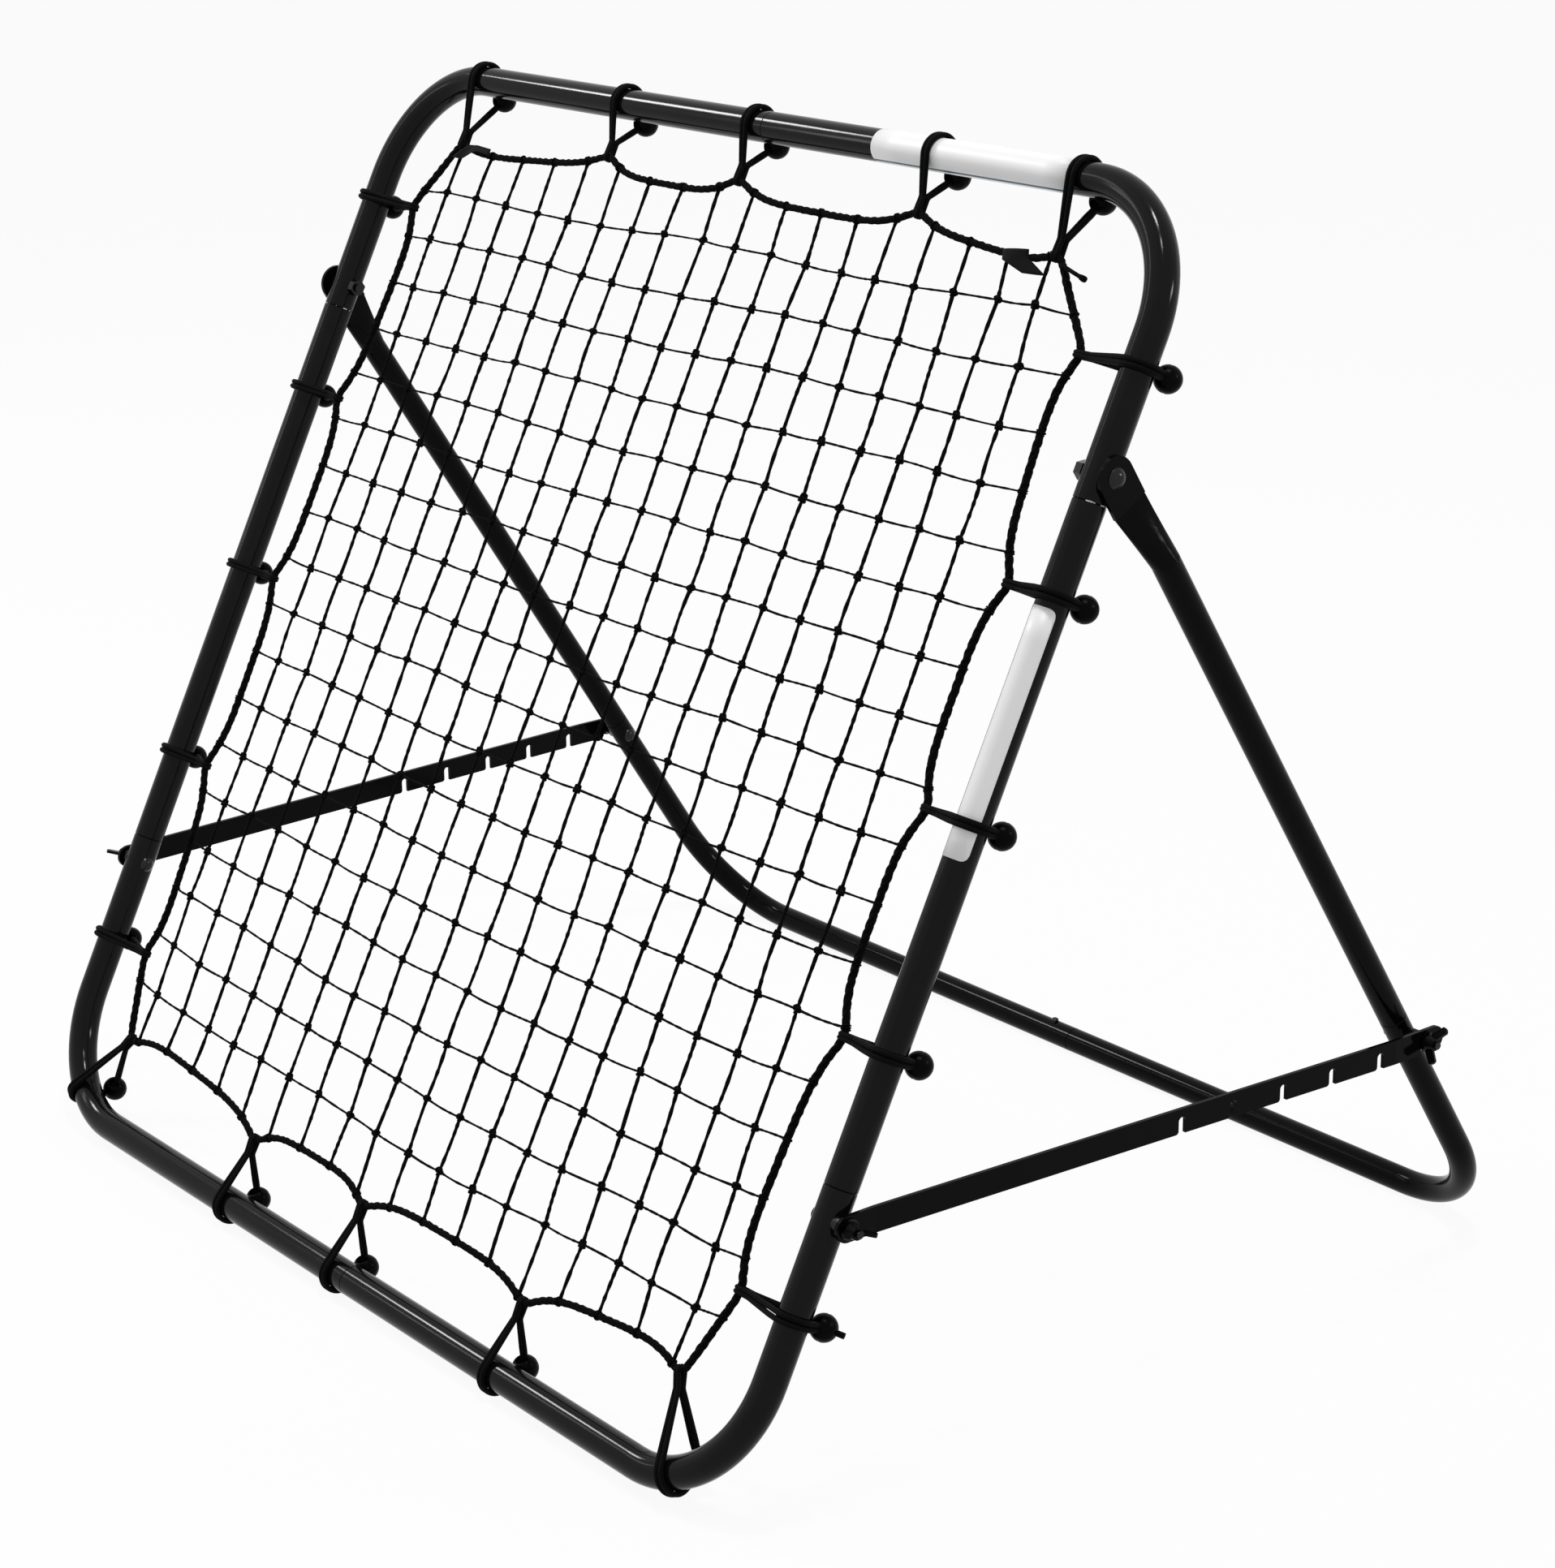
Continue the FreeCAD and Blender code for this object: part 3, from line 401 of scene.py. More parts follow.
class Shape:
    """Points, faces and UVs of one piece, from tubes along lines, turned profiles and skins."""

    def __init__(self):
        self.points = []
        self.faces = []
        self.uvs = []

    def add_rings(self, rings, lengths, closed):
        """Joins rings of points by quads; u goes round a ring and v is the length along, in metres."""
        base = len(self.points)
        sides = len(rings[0])
        for ring in rings:
            self.points.extend(ring)
        spans = len(rings) if closed else len(rings) - 1
        for i in range(spans):
            low = base + i * sides
            high = base + (i + 1) % len(rings) * sides
            for k in range(sides):
                n = (k + 1) % sides
                self.faces.append((low + k, low + n, high + n, high + k))
                a, b = k / sides, (k + 1) / sides
                c, d = lengths[i], lengths[i + 1]
                self.uvs += [(a, c), (b, c), (b, d), (a, d)]
        if not closed:
            last = base + (len(rings) - 1) * sides
            self.faces.append(tuple(base + k for k in reversed(range(sides))))
            self.faces.append(tuple(last + k for k in range(sides)))
            self.uvs += [(k / sides, lengths[0]) for k in reversed(range(sides))]
            self.uvs += [(k / sides, lengths[-1]) for k in range(sides)]

    def tube(self, line, radius, sides, closed=False):
        """A round tube along a line. radius is a number, or one number for each point."""
        tangents, normals = transport(line, closed)
        rings = []
        for i, point in enumerate(line):
            size = radius[i] if isinstance(radius, list) else radius
            rings.append(circle(point, normals[i], tangents[i].cross(normals[i]), size, sides))
        self.add_rings(rings, lengths_along(line, closed), closed)

    def lathe(self, centre, axis, profile, sides):
        """A profile of (radius, distance along the axis) turned round the axis."""
        normal = axis.orthogonal().normalized()
        side = axis.cross(normal)
        thinnest = 1e-5
        rings = [circle(centre + axis * along, normal, side, max(radius, thinnest), sides)
                 for radius, along in profile]
        lengths = [0.0]
        for before, after in zip(profile, profile[1:]):
            lengths.append(lengths[-1] + math.hypot(after[0] - before[0], after[1] - before[1]))
        self.add_rings(rings, lengths, False)

    def skin(self, grid, thickness):
        """A closed thin sheet: grid gives rows of (point, outward normal, uv)."""
        base = len(self.points)
        rows, columns = len(grid), len(grid[0])
        corners_of_grid = [corner for row in grid for corner in row]
        self.points += [point + normal * thickness for point, normal, uv in corners_of_grid]
        self.points += [point for point, normal, uv in corners_of_grid]

        def at(i, j, layer=0):
            return base + layer * rows * columns + i * columns + j

        def face(corners):
            self.faces.append(tuple(at(*corner) for corner in corners))
            self.uvs += [grid[corner[0]][corner[1]][2] for corner in corners]

        for i in range(rows - 1):
            for j in range(columns - 1):
                face([(i, j), (i + 1, j), (i + 1, j + 1), (i, j + 1)])
                face([(i, j, 1), (i, j + 1, 1), (i + 1, j + 1, 1), (i + 1, j, 1)])
        for i in range(rows - 1):
            face([(i, 0, 1), (i + 1, 0, 1), (i + 1, 0), (i, 0)])
            face([(i, columns - 1), (i + 1, columns - 1), (i + 1, columns - 1, 1), (i, columns - 1, 1)])
        for j in range(columns - 1):
            face([(0, j), (0, j + 1), (0, j + 1, 1), (0, j, 1)])
            face([(rows - 1, j, 1), (rows - 1, j + 1, 1), (rows - 1, j + 1), (rows - 1, j)])

    def build(self, name, material, body, slot, replaced=()):
        """Makes the mesh, rides it on its body and hides the solids it replaces."""
        mesh = bpy.data.meshes.new(name)
        mesh.from_pydata([tuple(point) for point in self.points], [], self.faces)
        layer = mesh.uv_layers.new(name="UVMap")
        layer.data.foreach_set("uv", [value for uv in self.uvs for value in uv])
        mesh.polygons.foreach_set("use_smooth", [True] * len(mesh.polygons))
        mesh.materials.append(material)
        mesh.update()
        piece = bpy.data.objects.new(name, mesh)
        bpy.context.scene.collection.objects.link(piece)
        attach(piece, body)
        if replaced:
            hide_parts(*replaced)
        return piece


def circle(centre, normal, side, radius, sides):
    """Points round a centre, in the plane of normal and side."""
    turns = [math.tau * k / sides for k in range(sides)]
    return [centre + (normal * math.cos(turn) + side * math.sin(turn)) * radius for turn in turns]


def lengths_along(line, closed):
    """The line's length up to each of its points and, where it is closed, all the way round."""
    lengths = [0.0]
    for i in range(len(line) if closed else len(line) - 1):
        lengths.append(lengths[-1] + (line[(i + 1) % len(line)] - line[i]).length)
    return lengths


def transport(line, closed):
    """Tangents along a line and normals that turn as little as they can."""
    count = len(line)
    tangents = []
    for i in range(count):
        before = line[i - 1] if closed or i > 0 else line[i]
        after = line[(i + 1) % count] if closed or i < count - 1 else line[i]
        tangents.append((after - before).normalized())
    normals = [tangents[0].orthogonal().normalized()]
    for a, b in zip(tangents, tangents[1:]):
        normal = a.rotation_difference(b) @ normals[-1]
        normals.append((normal - b * normal.dot(b)).normalized())
    if closed:
        last = tangents[-1].rotation_difference(tangents[0]) @ normals[-1]
        side = tangents[0].cross(normals[0])
        gap = math.atan2(last.dot(side), last.dot(normals[0]))
        for i in range(count):
            normals[i] = Matrix.Rotation(-gap * i / count, 3, tangents[i]) @ normals[i]
    return tangents, normals


def resample(line, step, closed):
    """The same line in even steps near the given one."""
    lengths = lengths_along(line, closed)
    count = max(2, round(lengths[-1] / step))
    points = []
    i = 0
    for k in range(count if closed else count + 1):
        target = lengths[-1] * k / count
        while i < len(lengths) - 2 and lengths[i + 1] < target:
            i += 1
        share = (target - lengths[i]) / (lengths[i + 1] - lengths[i])
        points.append(line[i].lerp(line[(i + 1) % len(line)], share))
    return points


def twist(line, offsets, turns, phase):
    """A strand that winds round a closed line."""
    tangents, normals = transport(line, True)
    strand = []
    for i, point in enumerate(line):
        turn = phase + math.tau * turns * i / len(line)
        side = tangents[i].cross(normals[i])
        strand.append(point + (normals[i] * math.cos(turn) + side * math.sin(turn)) * offsets[i])
    return strand


def flat_points(node):
    """A node's corners in the frame's flat drawing."""
    offsets = [vertex.co - foot for vertex in frame["nodes"][node].data.vertices]
    return [Vector((offset.x, offset.dot(up_slope), offset.dot(front))) for offset in offsets]


def station(side, index):
    """Where a bungee sits: centre of its tube, direction away from the net, reach and place of its ball."""
    points = flat_points(f"{side}_bungee_{index}")
    across = [point.x for point in points]
    rises = [point.y for point in points]
    middle = Vector(((min(across) + max(across)) / 2, (min(rises) + max(rises)) / 2, 0))
    end = index in (1, 5)
    if side in ("left", "right"):
        sign = 1 if side == "right" else -1
        reach = END_REACH if end else SIDE_REACH
        return Vector((sign * half_width, middle.y, 0)), Vector((sign, 0, 0)), reach, UPRIGHT_BALL
    if side == "top":
        reach = END_REACH if end else TOP_REACH
        return Vector((middle.x, SLOPE_LENGTH, 0)), Vector((0, 1, 0)), reach, LEVEL_BALL
    if not end:
        return Vector((middle.x, 0, 0)), Vector((0, -1, 0)), BOTTOM_REACH, LEVEL_BALL
    sign = 1 if index == 5 else -1
    centre = Vector((sign * (half_width - CORNER_RADIUS), CORNER_RADIUS, 0))
    mean = sum(points, Vector()) / len(points)
    outward = Vector((mean.x - centre.x, mean.y - centre.y, 0)).normalized()
    return centre + outward * CORNER_RADIUS, outward, BEND_REACH, LEVEL_BALL


def ball_centre(place_of_bungee):
    """The middle of a bungee's ball in the flat drawing."""
    centre, outward, reach, ball = place_of_bungee
    return centre + outward * ball[0] - Vector((0, 0, ball[1]))


def scallop(start, end, inward, deepest):
    """The rope's points between two bungees, where it hangs into the net."""
    points = []
    for k in range(1, SCALLOP_STEPS):
        share = k / SCALLOP_STEPS
        depth = deepest * (1 - abs(2 * share - 1) ** SCALLOP_POWER)
        points.append(start.lerp(end, share) + inward * depth)
    return points


def rope_line():
    """The border rope's line: straight through each bungee, with a scallop between each two of them."""
    inward = {"bottom": Vector((0, 1, 0)), "right": Vector((-1, 0, 0)), "top": Vector((0, -1, 0)),
              "left": Vector((1, 0, 0))}
    line = []
    for side in ("bottom", "right", "top", "left"):
        order = range(1, 6) if side in ("bottom", "right") else range(5, 0, -1)
        rows = [station(side, index) for index in order]
        anchors = [centre - outward * reach for centre, outward, reach, ball in rows]
        tangents = [Vector((-outward.y, outward.x, 0)) for centre, outward, reach, ball in rows]
        for i, anchor in enumerate(anchors):
            line += [anchor - tangents[i] * ANCHOR_FLAT, anchor + tangents[i] * ANCHOR_FLAT]
            if i + 1 < len(anchors):
                end = anchors[i + 1] - tangents[i + 1] * ANCHOR_FLAT
                outermost = side == "top" and i in (0, 3)
                deepest = END_SCALLOP_DEPTH if outermost else SCALLOP_DEPTH
                line += scallop(line[-1], end, inward[side], deepest)
    line = resample(line, ROPE_STEP, True)
    for _ in range(ROPE_ROUNDINGS):
        line = [(line[i - 1] + line[i] * 2 + line[(i + 1) % len(line)]) / 4 for i in range(len(line))]
    return line


def crossings(line, level, axis):
    """Where a level line meets the rope: (place along the line, the rope's direction) at both ends."""
    other = 1 - axis
    found = []
    for i in range(len(line)):
        a, b = line[i - 1], line[i]
        if (a[axis] - level) * (b[axis] - level) <= 0 and a[axis] != b[axis]:
            share = (level - a[axis]) / (b[axis] - a[axis])
            found.append((a[other] + (b[other] - a[other]) * share, (b - a).normalized()))
    found.sort(key=lambda row: row[0])
    return found[0], found[-1]


def hang(x, rise):
    """Where a place of the even net comes to lie: columns spread at the foot, rows bow and tilt a little."""
    up = (rise - NET_FOOT) / NET_HEIGHT
    side = x / NET_HALF
    shift = FOOT_SPREAD * side * (1 - up) - TOP_PULL * abs(up) ** 3 * max(0.0, side)
    lift = MIDDLE_LIFT * math.sin(LIFT_TURN * up) - FOOT_DROP
    lift += EDGE_LIFT * (1 - up) * side * side
    lift += ROW_TILT * (up - LEVEL_ROW) * side
    return Vector((x + shift, rise + lift, 0))


def bungee_line(reach, ball, cord_radius):
    """One loop in its own plane: p away from the net, q to the rear, with the tube's centre at 0, 0."""
    wrap = TUBE_RADIUS + CORD_CLEARANCE + cord_radius
    distance = math.hypot(*ball)
    leave_tube = math.atan2(ball[1], ball[0]) - math.acos(wrap / distance)
    front_turn = -math.pi / 2 - math.asin((wrap - ANCHOR_RADIUS) / reach)
    to_ball = math.atan2(ball[1], ball[0] + reach)
    far = math.hypot(ball[0] + reach, ball[1])
    leave_rope = to_ball + math.acos(ANCHOR_RADIUS / far) - math.tau

    def arc(centre, radius, start, end, steps):
        turns = [start + (end - start) * i / steps for i in range(steps + 1)]
        return [Vector((centre + radius * math.cos(turn), radius * math.sin(turn))) for turn in turns]

    def seat(towards):
        middle = Vector(ball)
        return middle + (towards - middle).normalized() * BALL_SEAT

    around_tube = arc(0.0, wrap, leave_tube, front_turn, 22)
    around_rope = arc(-reach, ANCHOR_RADIUS, front_turn, leave_rope, 12)
    pinch = -reach + PINCH_LENGTH
    half_gap = cord_radius * 1.05
    front_strand = Vector((pinch, -half_gap))
    rear_strand = Vector((pinch, half_gap))
    line = [seat(around_tube[0]), *around_tube, front_strand, *around_rope, rear_strand, seat(rear_strand)]
    return resample(line, BUNGEE_STEP, False)


class TubeSettings(bpy.types.PropertyGroup):
    """Colours of the tubes, bars and fastenings."""
    paint: FloatVectorProperty(name="Paint", description="Colour of the powder coat", subtype="COLOR",
                               default=(0.0030, 0.0030, 0.0031), min=0.0, max=1.0)
    chipped: FloatVectorProperty(name="Chips", description="Colour of the bright chips at the seams",
                                 subtype="COLOR", default=(0.66, 0.66, 0.65), min=0.0, max=1.0)
    fastener: FloatVectorProperty(name="Black fastenings", description="Colour of the bolts and wing nuts",
                                  subtype="COLOR", default=(0.0016, 0.0016, 0.0017), min=0.0, max=1.0)
    zinc: FloatVectorProperty(name="Zinc", description="Colour of the bright bolts and the snap button",
                              subtype="COLOR", default=(0.026, 0.026, 0.027), min=0.0, max=1.0)
    spring: FloatVectorProperty(name="Spring", description="Colour of the snap button's spring",
                                subtype="COLOR", default=(0.50, 0.50, 0.50), min=0.0, max=1.0)
    # painted shade: the paint of the parts off the main frame is darkened by this share, since they are lit less
    # than the frame
    rear_painted_shade: FloatProperty(name="Rear shade", description="Share of the paint's colour at the rear",
                              subtype="FACTOR", default=0.5, min=0.0, max=1.0)


class NetSettings(bpy.types.PropertyGroup):
    """Sizes and colour of the knotted net."""
    columns: IntProperty(name="Columns", description="Strings that run up the slope", default=18, min=4,
                         max=60)
    rows: IntProperty(name="Rows", description="Strings that run across", default=18, min=4, max=80)
    mesh_width: FloatProperty(name="Mesh width", description="Distance between two columns", unit="LENGTH",
                              default=0.045)
    mesh_height: FloatProperty(name="Mesh height", description="Distance between two rows", unit="LENGTH",
                               default=0.0442)
    first_row: FloatProperty(name="First row", description="Height of the lowest row up the slope",
                             unit="LENGTH", default=0.116)
    shift: FloatProperty(name="Shift", description="How far the columns stand to the left of the middle",
                         unit="LENGTH", default=0.0018)
    column_twine: FloatProperty(name="Column twine", description="Diameter of the strings up the slope",
                                unit="LENGTH", default=0.0028)
    row_twine: FloatProperty(name="Row twine", description="Diameter of the strings that run across",
                             unit="LENGTH", default=0.0019)
    knot: FloatProperty(name="Knot", description="Width of a knot", unit="LENGTH", default=0.0086)
    colour: FloatVectorProperty(name="Twine colour", description="Colour of the twine", subtype="COLOR",
                                default=(0.0013, 0.0013, 0.0014), min=0.0, max=1.0)


class CordSettings(bpy.types.PropertyGroup):
    """Sizes and colours of the border rope and the ball bungees."""
    rope: FloatProperty(name="Border rope", description="Diameter of the border rope", unit="LENGTH",
                        default=0.006)
    strand: FloatProperty(name="Strand", description="Diameter of one strand of the rope", unit="LENGTH",
                          default=0.0041)
    side_swell: FloatProperty(name="Side swell", description="How much thicker the rope is along the sides",
                              subtype="FACTOR", default=0.10, min=0.0, max=1.0)
    lay: FloatProperty(name="Lay", description="Length of one turn of a strand", unit="LENGTH", default=0.024)
    cord: FloatProperty(name="Bungee cord", description="Diameter of the elastic cord", unit="LENGTH",
                        default=0.0043)
    ball: FloatProperty(name="Ball", description="Diameter of a bungee's ball", unit="LENGTH", default=0.021)
    rope_colour: FloatVectorProperty(name="Rope colour", description="Colour of the border rope",
                                     subtype="COLOR", default=(0.0013, 0.0013, 0.0014), min=0.0, max=1.0)
    cord_colour: FloatVectorProperty(name="Cord colour", description="Colour of the elastic cord",
                                     subtype="COLOR", default=(0.0013, 0.0013, 0.0014), min=0.0, max=1.0)
    ball_colour: FloatVectorProperty(name="Ball colour", description="Colour of the balls", subtype="COLOR",
                                     default=(0.0009, 0.0009, 0.0010), min=0.0, max=1.0)


class LabelSettings(bpy.types.PropertyGroup):
    """Sizes and colours of the plain labels."""
    paper: FloatVectorProperty(name="Vinyl", description="Colour of the label", subtype="COLOR",
                               default=(0.80, 0.80, 0.80), min=0.0, max=1.0)
    ink: FloatVectorProperty(name="Band", description="Colour of the band on the label", subtype="COLOR",
                             default=(0.004, 0.058, 0.098), min=0.0, max=1.0)
    thickness: FloatProperty(name="Thickness", description="How far a label stands off its tube",
                             unit="LENGTH", default=0.00015)
    corner: FloatProperty(name="Corner", description="Radius of a label's corners", unit="LENGTH",
                          default=0.006)


class StageSettings(bpy.types.PropertyGroup):
    """Camera, floor and lamps."""
    lens: FloatProperty(name="Lens", description="Focal length in millimetres for a 36 mm sensor",
                        default=81.07)
    azimuth: FloatProperty(name="Azimuth", description="Camera's turn from the front, to the right",
                           unit="ROTATION", default=math.radians(51.547))
    elevation: FloatProperty(name="Elevation", description="How far the camera looks down", unit="ROTATION",
                             default=math.radians(18.576))
    roll: FloatProperty(name="Roll", description="The camera's turn round its own axis", unit="ROTATION",
                        default=math.radians(-0.945))
    position: FloatVectorProperty(name="Camera position", description="From the middle of the bottom tube",
                                  subtype="TRANSLATION", unit="LENGTH", default=(2.2145, -1.3111, 1.2663))
    floor: FloatProperty(name="Floor", description="Side of the floor", unit="LENGTH", default=40.0)
    key: FloatProperty(name="Key lamp", description="Power of the large lamp in watts", default=16.0)
    fill: FloatProperty(name="Fill lamp", description="Power of the lamp at the right rear, in watts",
                        default=22.0)
    overhead: FloatProperty(name="Overhead lamp", description="Power of the small lamp above, in watts",
                            default=52.0)
    second_overhead: FloatProperty(name="Second overhead", description="Share of the overhead lamp's power",
                                   subtype="FACTOR", default=0.3, min=0.0, max=1.0)
    left: FloatProperty(name="Left lamp", description="Power of the lamp on the left, in watts", default=46.0)
    strip: FloatProperty(name="Strip lamp", description="Power of the narrow upright lamp in watts",
                         default=5.0)
    glow: FloatProperty(name="Floor glow", description="How much of the floor's white is its own",
                        subtype="FACTOR", default=0.93, min=0.0, max=1.0)
    sky: FloatProperty(name="Surrounding light", description="Strength of the even light", default=0.42)


class REBOUNDER_OT_tubes(bpy.types.Operator):
    """Gives the tubes, bars and fastenings their finishes"""
    bl_idname = "rebounder.tubes"
    bl_label = "Tubes, bars and fastenings"

    def execute(self, context):
        settings = context.scene.rebounder_tubes
        seam = HINGE_UP - HINGE_TO_SEAM
        paint = powder_coat("black powder coat", settings.paint, 0.10, settings.chipped, seam)
        # a darker copy of the paint with weaker gloss for the painted parts off the main frame, at the rear:
        # painted shade where they lie in shade
        painted_shade = [c * settings.rear_painted_shade for c in settings.paint]
        rear = powder_coat("duller black powder coat", painted_shade, 0.045, settings.chipped, seam)
        black = plated("black plated steel", settings.fastener, shine=0.22, metal=0.0, level=0.06)
        zinc = plated("dark zinc plate", settings.zinc, shine=0.12, metal=1.0)
        steel = plated("spring steel", settings.spring, shine=0.30, metal=1.0)
        finishes = {"black_paint": paint, "black_fastener": black, "zinc_steel": zinc, "spring_steel": steel}
        chosen = {part["node"]: part["material_slot"] for part in frame["record"]["subparts"]}
        on_main_frame = frame["record"]["behaviour"]["bodies"]["main_frame"]
        for name, node in frame["nodes"].items():
            material = finishes.get(chosen[name], paint)
            # the painted parts off the main frame take the copy with painted shade
            if material == paint and name not in on_main_frame:
                material = rear
            if not node.material_slots:
                node.data.materials.append(material)
            for slot in node.material_slots:
                slot.material = material
        return {"FINISHED"}


class REBOUNDER_OT_net(bpy.types.Operator):
    """Makes the knotted net: its strings, its knots and the hitches that hold it to the border rope"""
    bl_idname = "rebounder.net"
    bl_label = "Net"

    def execute(self, context):
        settings = context.scene.rebounder_net
        rope_radius = context.scene.rebounder_cords.rope / 2
        chance = random.Random(41)
        rope = rope_line()
        middle = (settings.columns - 1) / 2
        columns = [(i - middle) * settings.mesh_width - settings.shift for i in range(settings.columns)]
        rows = [settings.first_row + settings.mesh_height * j for j in range(settings.rows)]
        knots = self.knot_places(columns, rows, chance)
        # each string's knots, and two places on it beyond the rope
        upright = [([(i, j) for j in range(len(rows))], [hang(x, end) for end in NET_END])
                   for i, x in enumerate(columns)]
        level = [([(i, j) for i in range(len(columns))], [hang(end, rise) for end in (-NET_SIDE, NET_SIDE)])
                 for j, rise in enumerate(rows)]
        used = set()
        strings = Shape()
        hitches = Shape()
        for axis, members, twine in ((0, upright, settings.column_twine), (1, level, settings.row_twine)):
            for keys, outer in members:
                ends = [crossings(rope, outer[n][axis], axis)[n] for n in (0, 1)]
                nearest, furthest = ends[0][0] + KNOT_MARGIN, ends[1][0] - KNOT_MARGIN
                inner = [key for key in keys if nearest < knots[key][1 - axis] < furthest]
                used.update(inner)
                points = [knots[key] for key in inner]
                for n, (value, direction) in enumerate(ends):
                    point = Vector((value, outer[n].y, 0)) if axis else Vector((outer[n].x, value, 0))
                    points.insert(n * len(points), point)
                    self.hitch(hitches, point, direction, rope_radius, twine / 2, chance)
                line = [place(point) for point in self.slack_line(points, chance)]
                strings.tube(line, [twine / 2 * chance.uniform(0.8, 1.2) for _ in line], sides=6)
        knotted = Shape()
        for key in sorted(used):
            self.knot(knotted, knots[key], settings.knot, settings.column_twine / 2, chance)
        material = twine_finish("black net twine", settings.colour, 2, 2200.0)
        strings.build("net_strings", material, "main_frame", "net_twine", ["net"])
        knotted.build("net_knots", material, "main_frame", "net_twine", ["net"])
        hitches.build("net_hitches", material, "main_frame", "net_twine", ["net"])
        return {"FINISHED"}

    def knot_places(self, columns, rows, chance):
        """Where each knot lies, by column and row: strings wander more near the net's foot and top."""
        sways = [chance.uniform(0, math.tau) for _ in columns]
        swells = [chance.uniform(0, math.tau) for _ in rows]
        knots = {}
        for i, x in enumerate(columns):
            for j, rise in enumerate(rows):
                edge = abs(2 * j / (len(rows) - 1) - 1) ** 4
                sway = (COLUMN_SWAY[0] + COLUMN_SWAY[1] * edge) * math.sin(0.9 * j + sways[i])
                swell = (ROW_SWELL[0] + ROW_SWELL[1] * edge) * math.sin(0.7 * i + swells[j])
                knots[i, j] = hang(x, rise) + Vector((sway + chance.uniform(-KNOT_PLAY, KNOT_PLAY),
                                                      swell + chance.uniform(-KNOT_PLAY, KNOT_PLAY),
                                                      chance.uniform(-KNOT_DEPTH, KNOT_DEPTH)))
        return knots

    def slack_line(self, points, chance):
        """A string through its knots, bowed a little between each two of them."""
        steps = 14
        line = []
        for start, end in zip(points, points[1:]):
            bow = Vector((chance.uniform(-STRING_BOW, STRING_BOW), chance.uniform(*STRING_DROOP),
                          chance.uniform(-STRING_BOW, STRING_BOW)))
            for k in range(steps):
                line.append(start.lerp(end, k / steps) + bow * math.sin(math.pi * k / steps))
        return line + [points[-1]]

    def knot(self, shape, centre, width, radius, chance):
        """A small three-lobed knot, pressed flat and a little different each time."""
        spin = chance.uniform(0, math.tau)
        size = (width / 2 - radius) / 3 * chance.uniform(0.9, 1.1)
        wide = chance.uniform(0.92, 1.08)
        flatness = 0.95
        steps = 18
        line = []
        for i in range(steps):
            t = math.tau * i / steps
            x = (math.sin(t) + 2 * math.sin(2 * t)) * size * wide
            y = (math.cos(t) - 2 * math.cos(2 * t)) * size
            z = -math.sin(3 * t) * radius * flatness
            across = x * math.cos(spin) - y * math.sin(spin)
            up = x * math.sin(spin) + y * math.cos(spin)
            line.append(place(centre + Vector((across, up, z))))
        shape.tube(line, radius * 1.1, sides=5, closed=True)

    def hitch(self, shape, centre, direction, rope_radius, radius, chance):
        """Twine that goes once or twice round the rope where a string meets it."""
        side = Vector((-direction.y, direction.x, 0))
        start = chance.uniform(0, math.tau)
        thickest = 0.0008
        radius = min(radius, thickest)
        turns = chance.choice((1.0, 1.5, 2.0))
        steps = int(turns * 12)
        swell = rope_radius + radius * 0.3
        line = []
        for i in range(steps + 1):
            turn = start + math.tau * turns * i / steps
            along = (i / steps - 0.5) * radius * 2.1 * turns
            offset = direction * along + side * math.cos(turn) * swell
            line.append(place(centre + (offset + Vector((0, 0, 1)) * math.sin(turn) * swell)))
        shape.tube(line, radius, sides=5)


class REBOUNDER_OT_rope(bpy.types.Operator):
    """Makes the border rope from three strands"""
    bl_idname = "rebounder.rope"
    bl_label = "Border rope"

    def execute(self, context):
        settings = context.scene.rebounder_cords
        chance = random.Random(7)
        flat = resample(rope_line(), settings.lay / 14, True)
        line = [place(point) for point in flat]
        turns = round(lengths_along(line, True)[-1] / settings.lay)
        steep = [abs((flat[i] - flat[i - 1]).normalized().y) for i in range(len(flat))]
        thickness = [1.0 + settings.side_swell * share for share in steep]
        offsets = [(settings.rope / 2 - settings.strand / 2) * size for size in thickness]
        shape = Shape()
        for k in range(3):
            sizes = [settings.strand / 2 * size * chance.uniform(0.92, 1.08) for size in thickness]
            shape.tube(twist(line, offsets, turns, math.tau * k / 3), sizes, sides=7, closed=True)
        material = twine_finish("black border rope", settings.rope_colour, 4, 2600.0)
        shape.build("border_rope_strands", material, "main_frame", "border_cord", ["border_rope"])
        return {"FINISHED"}


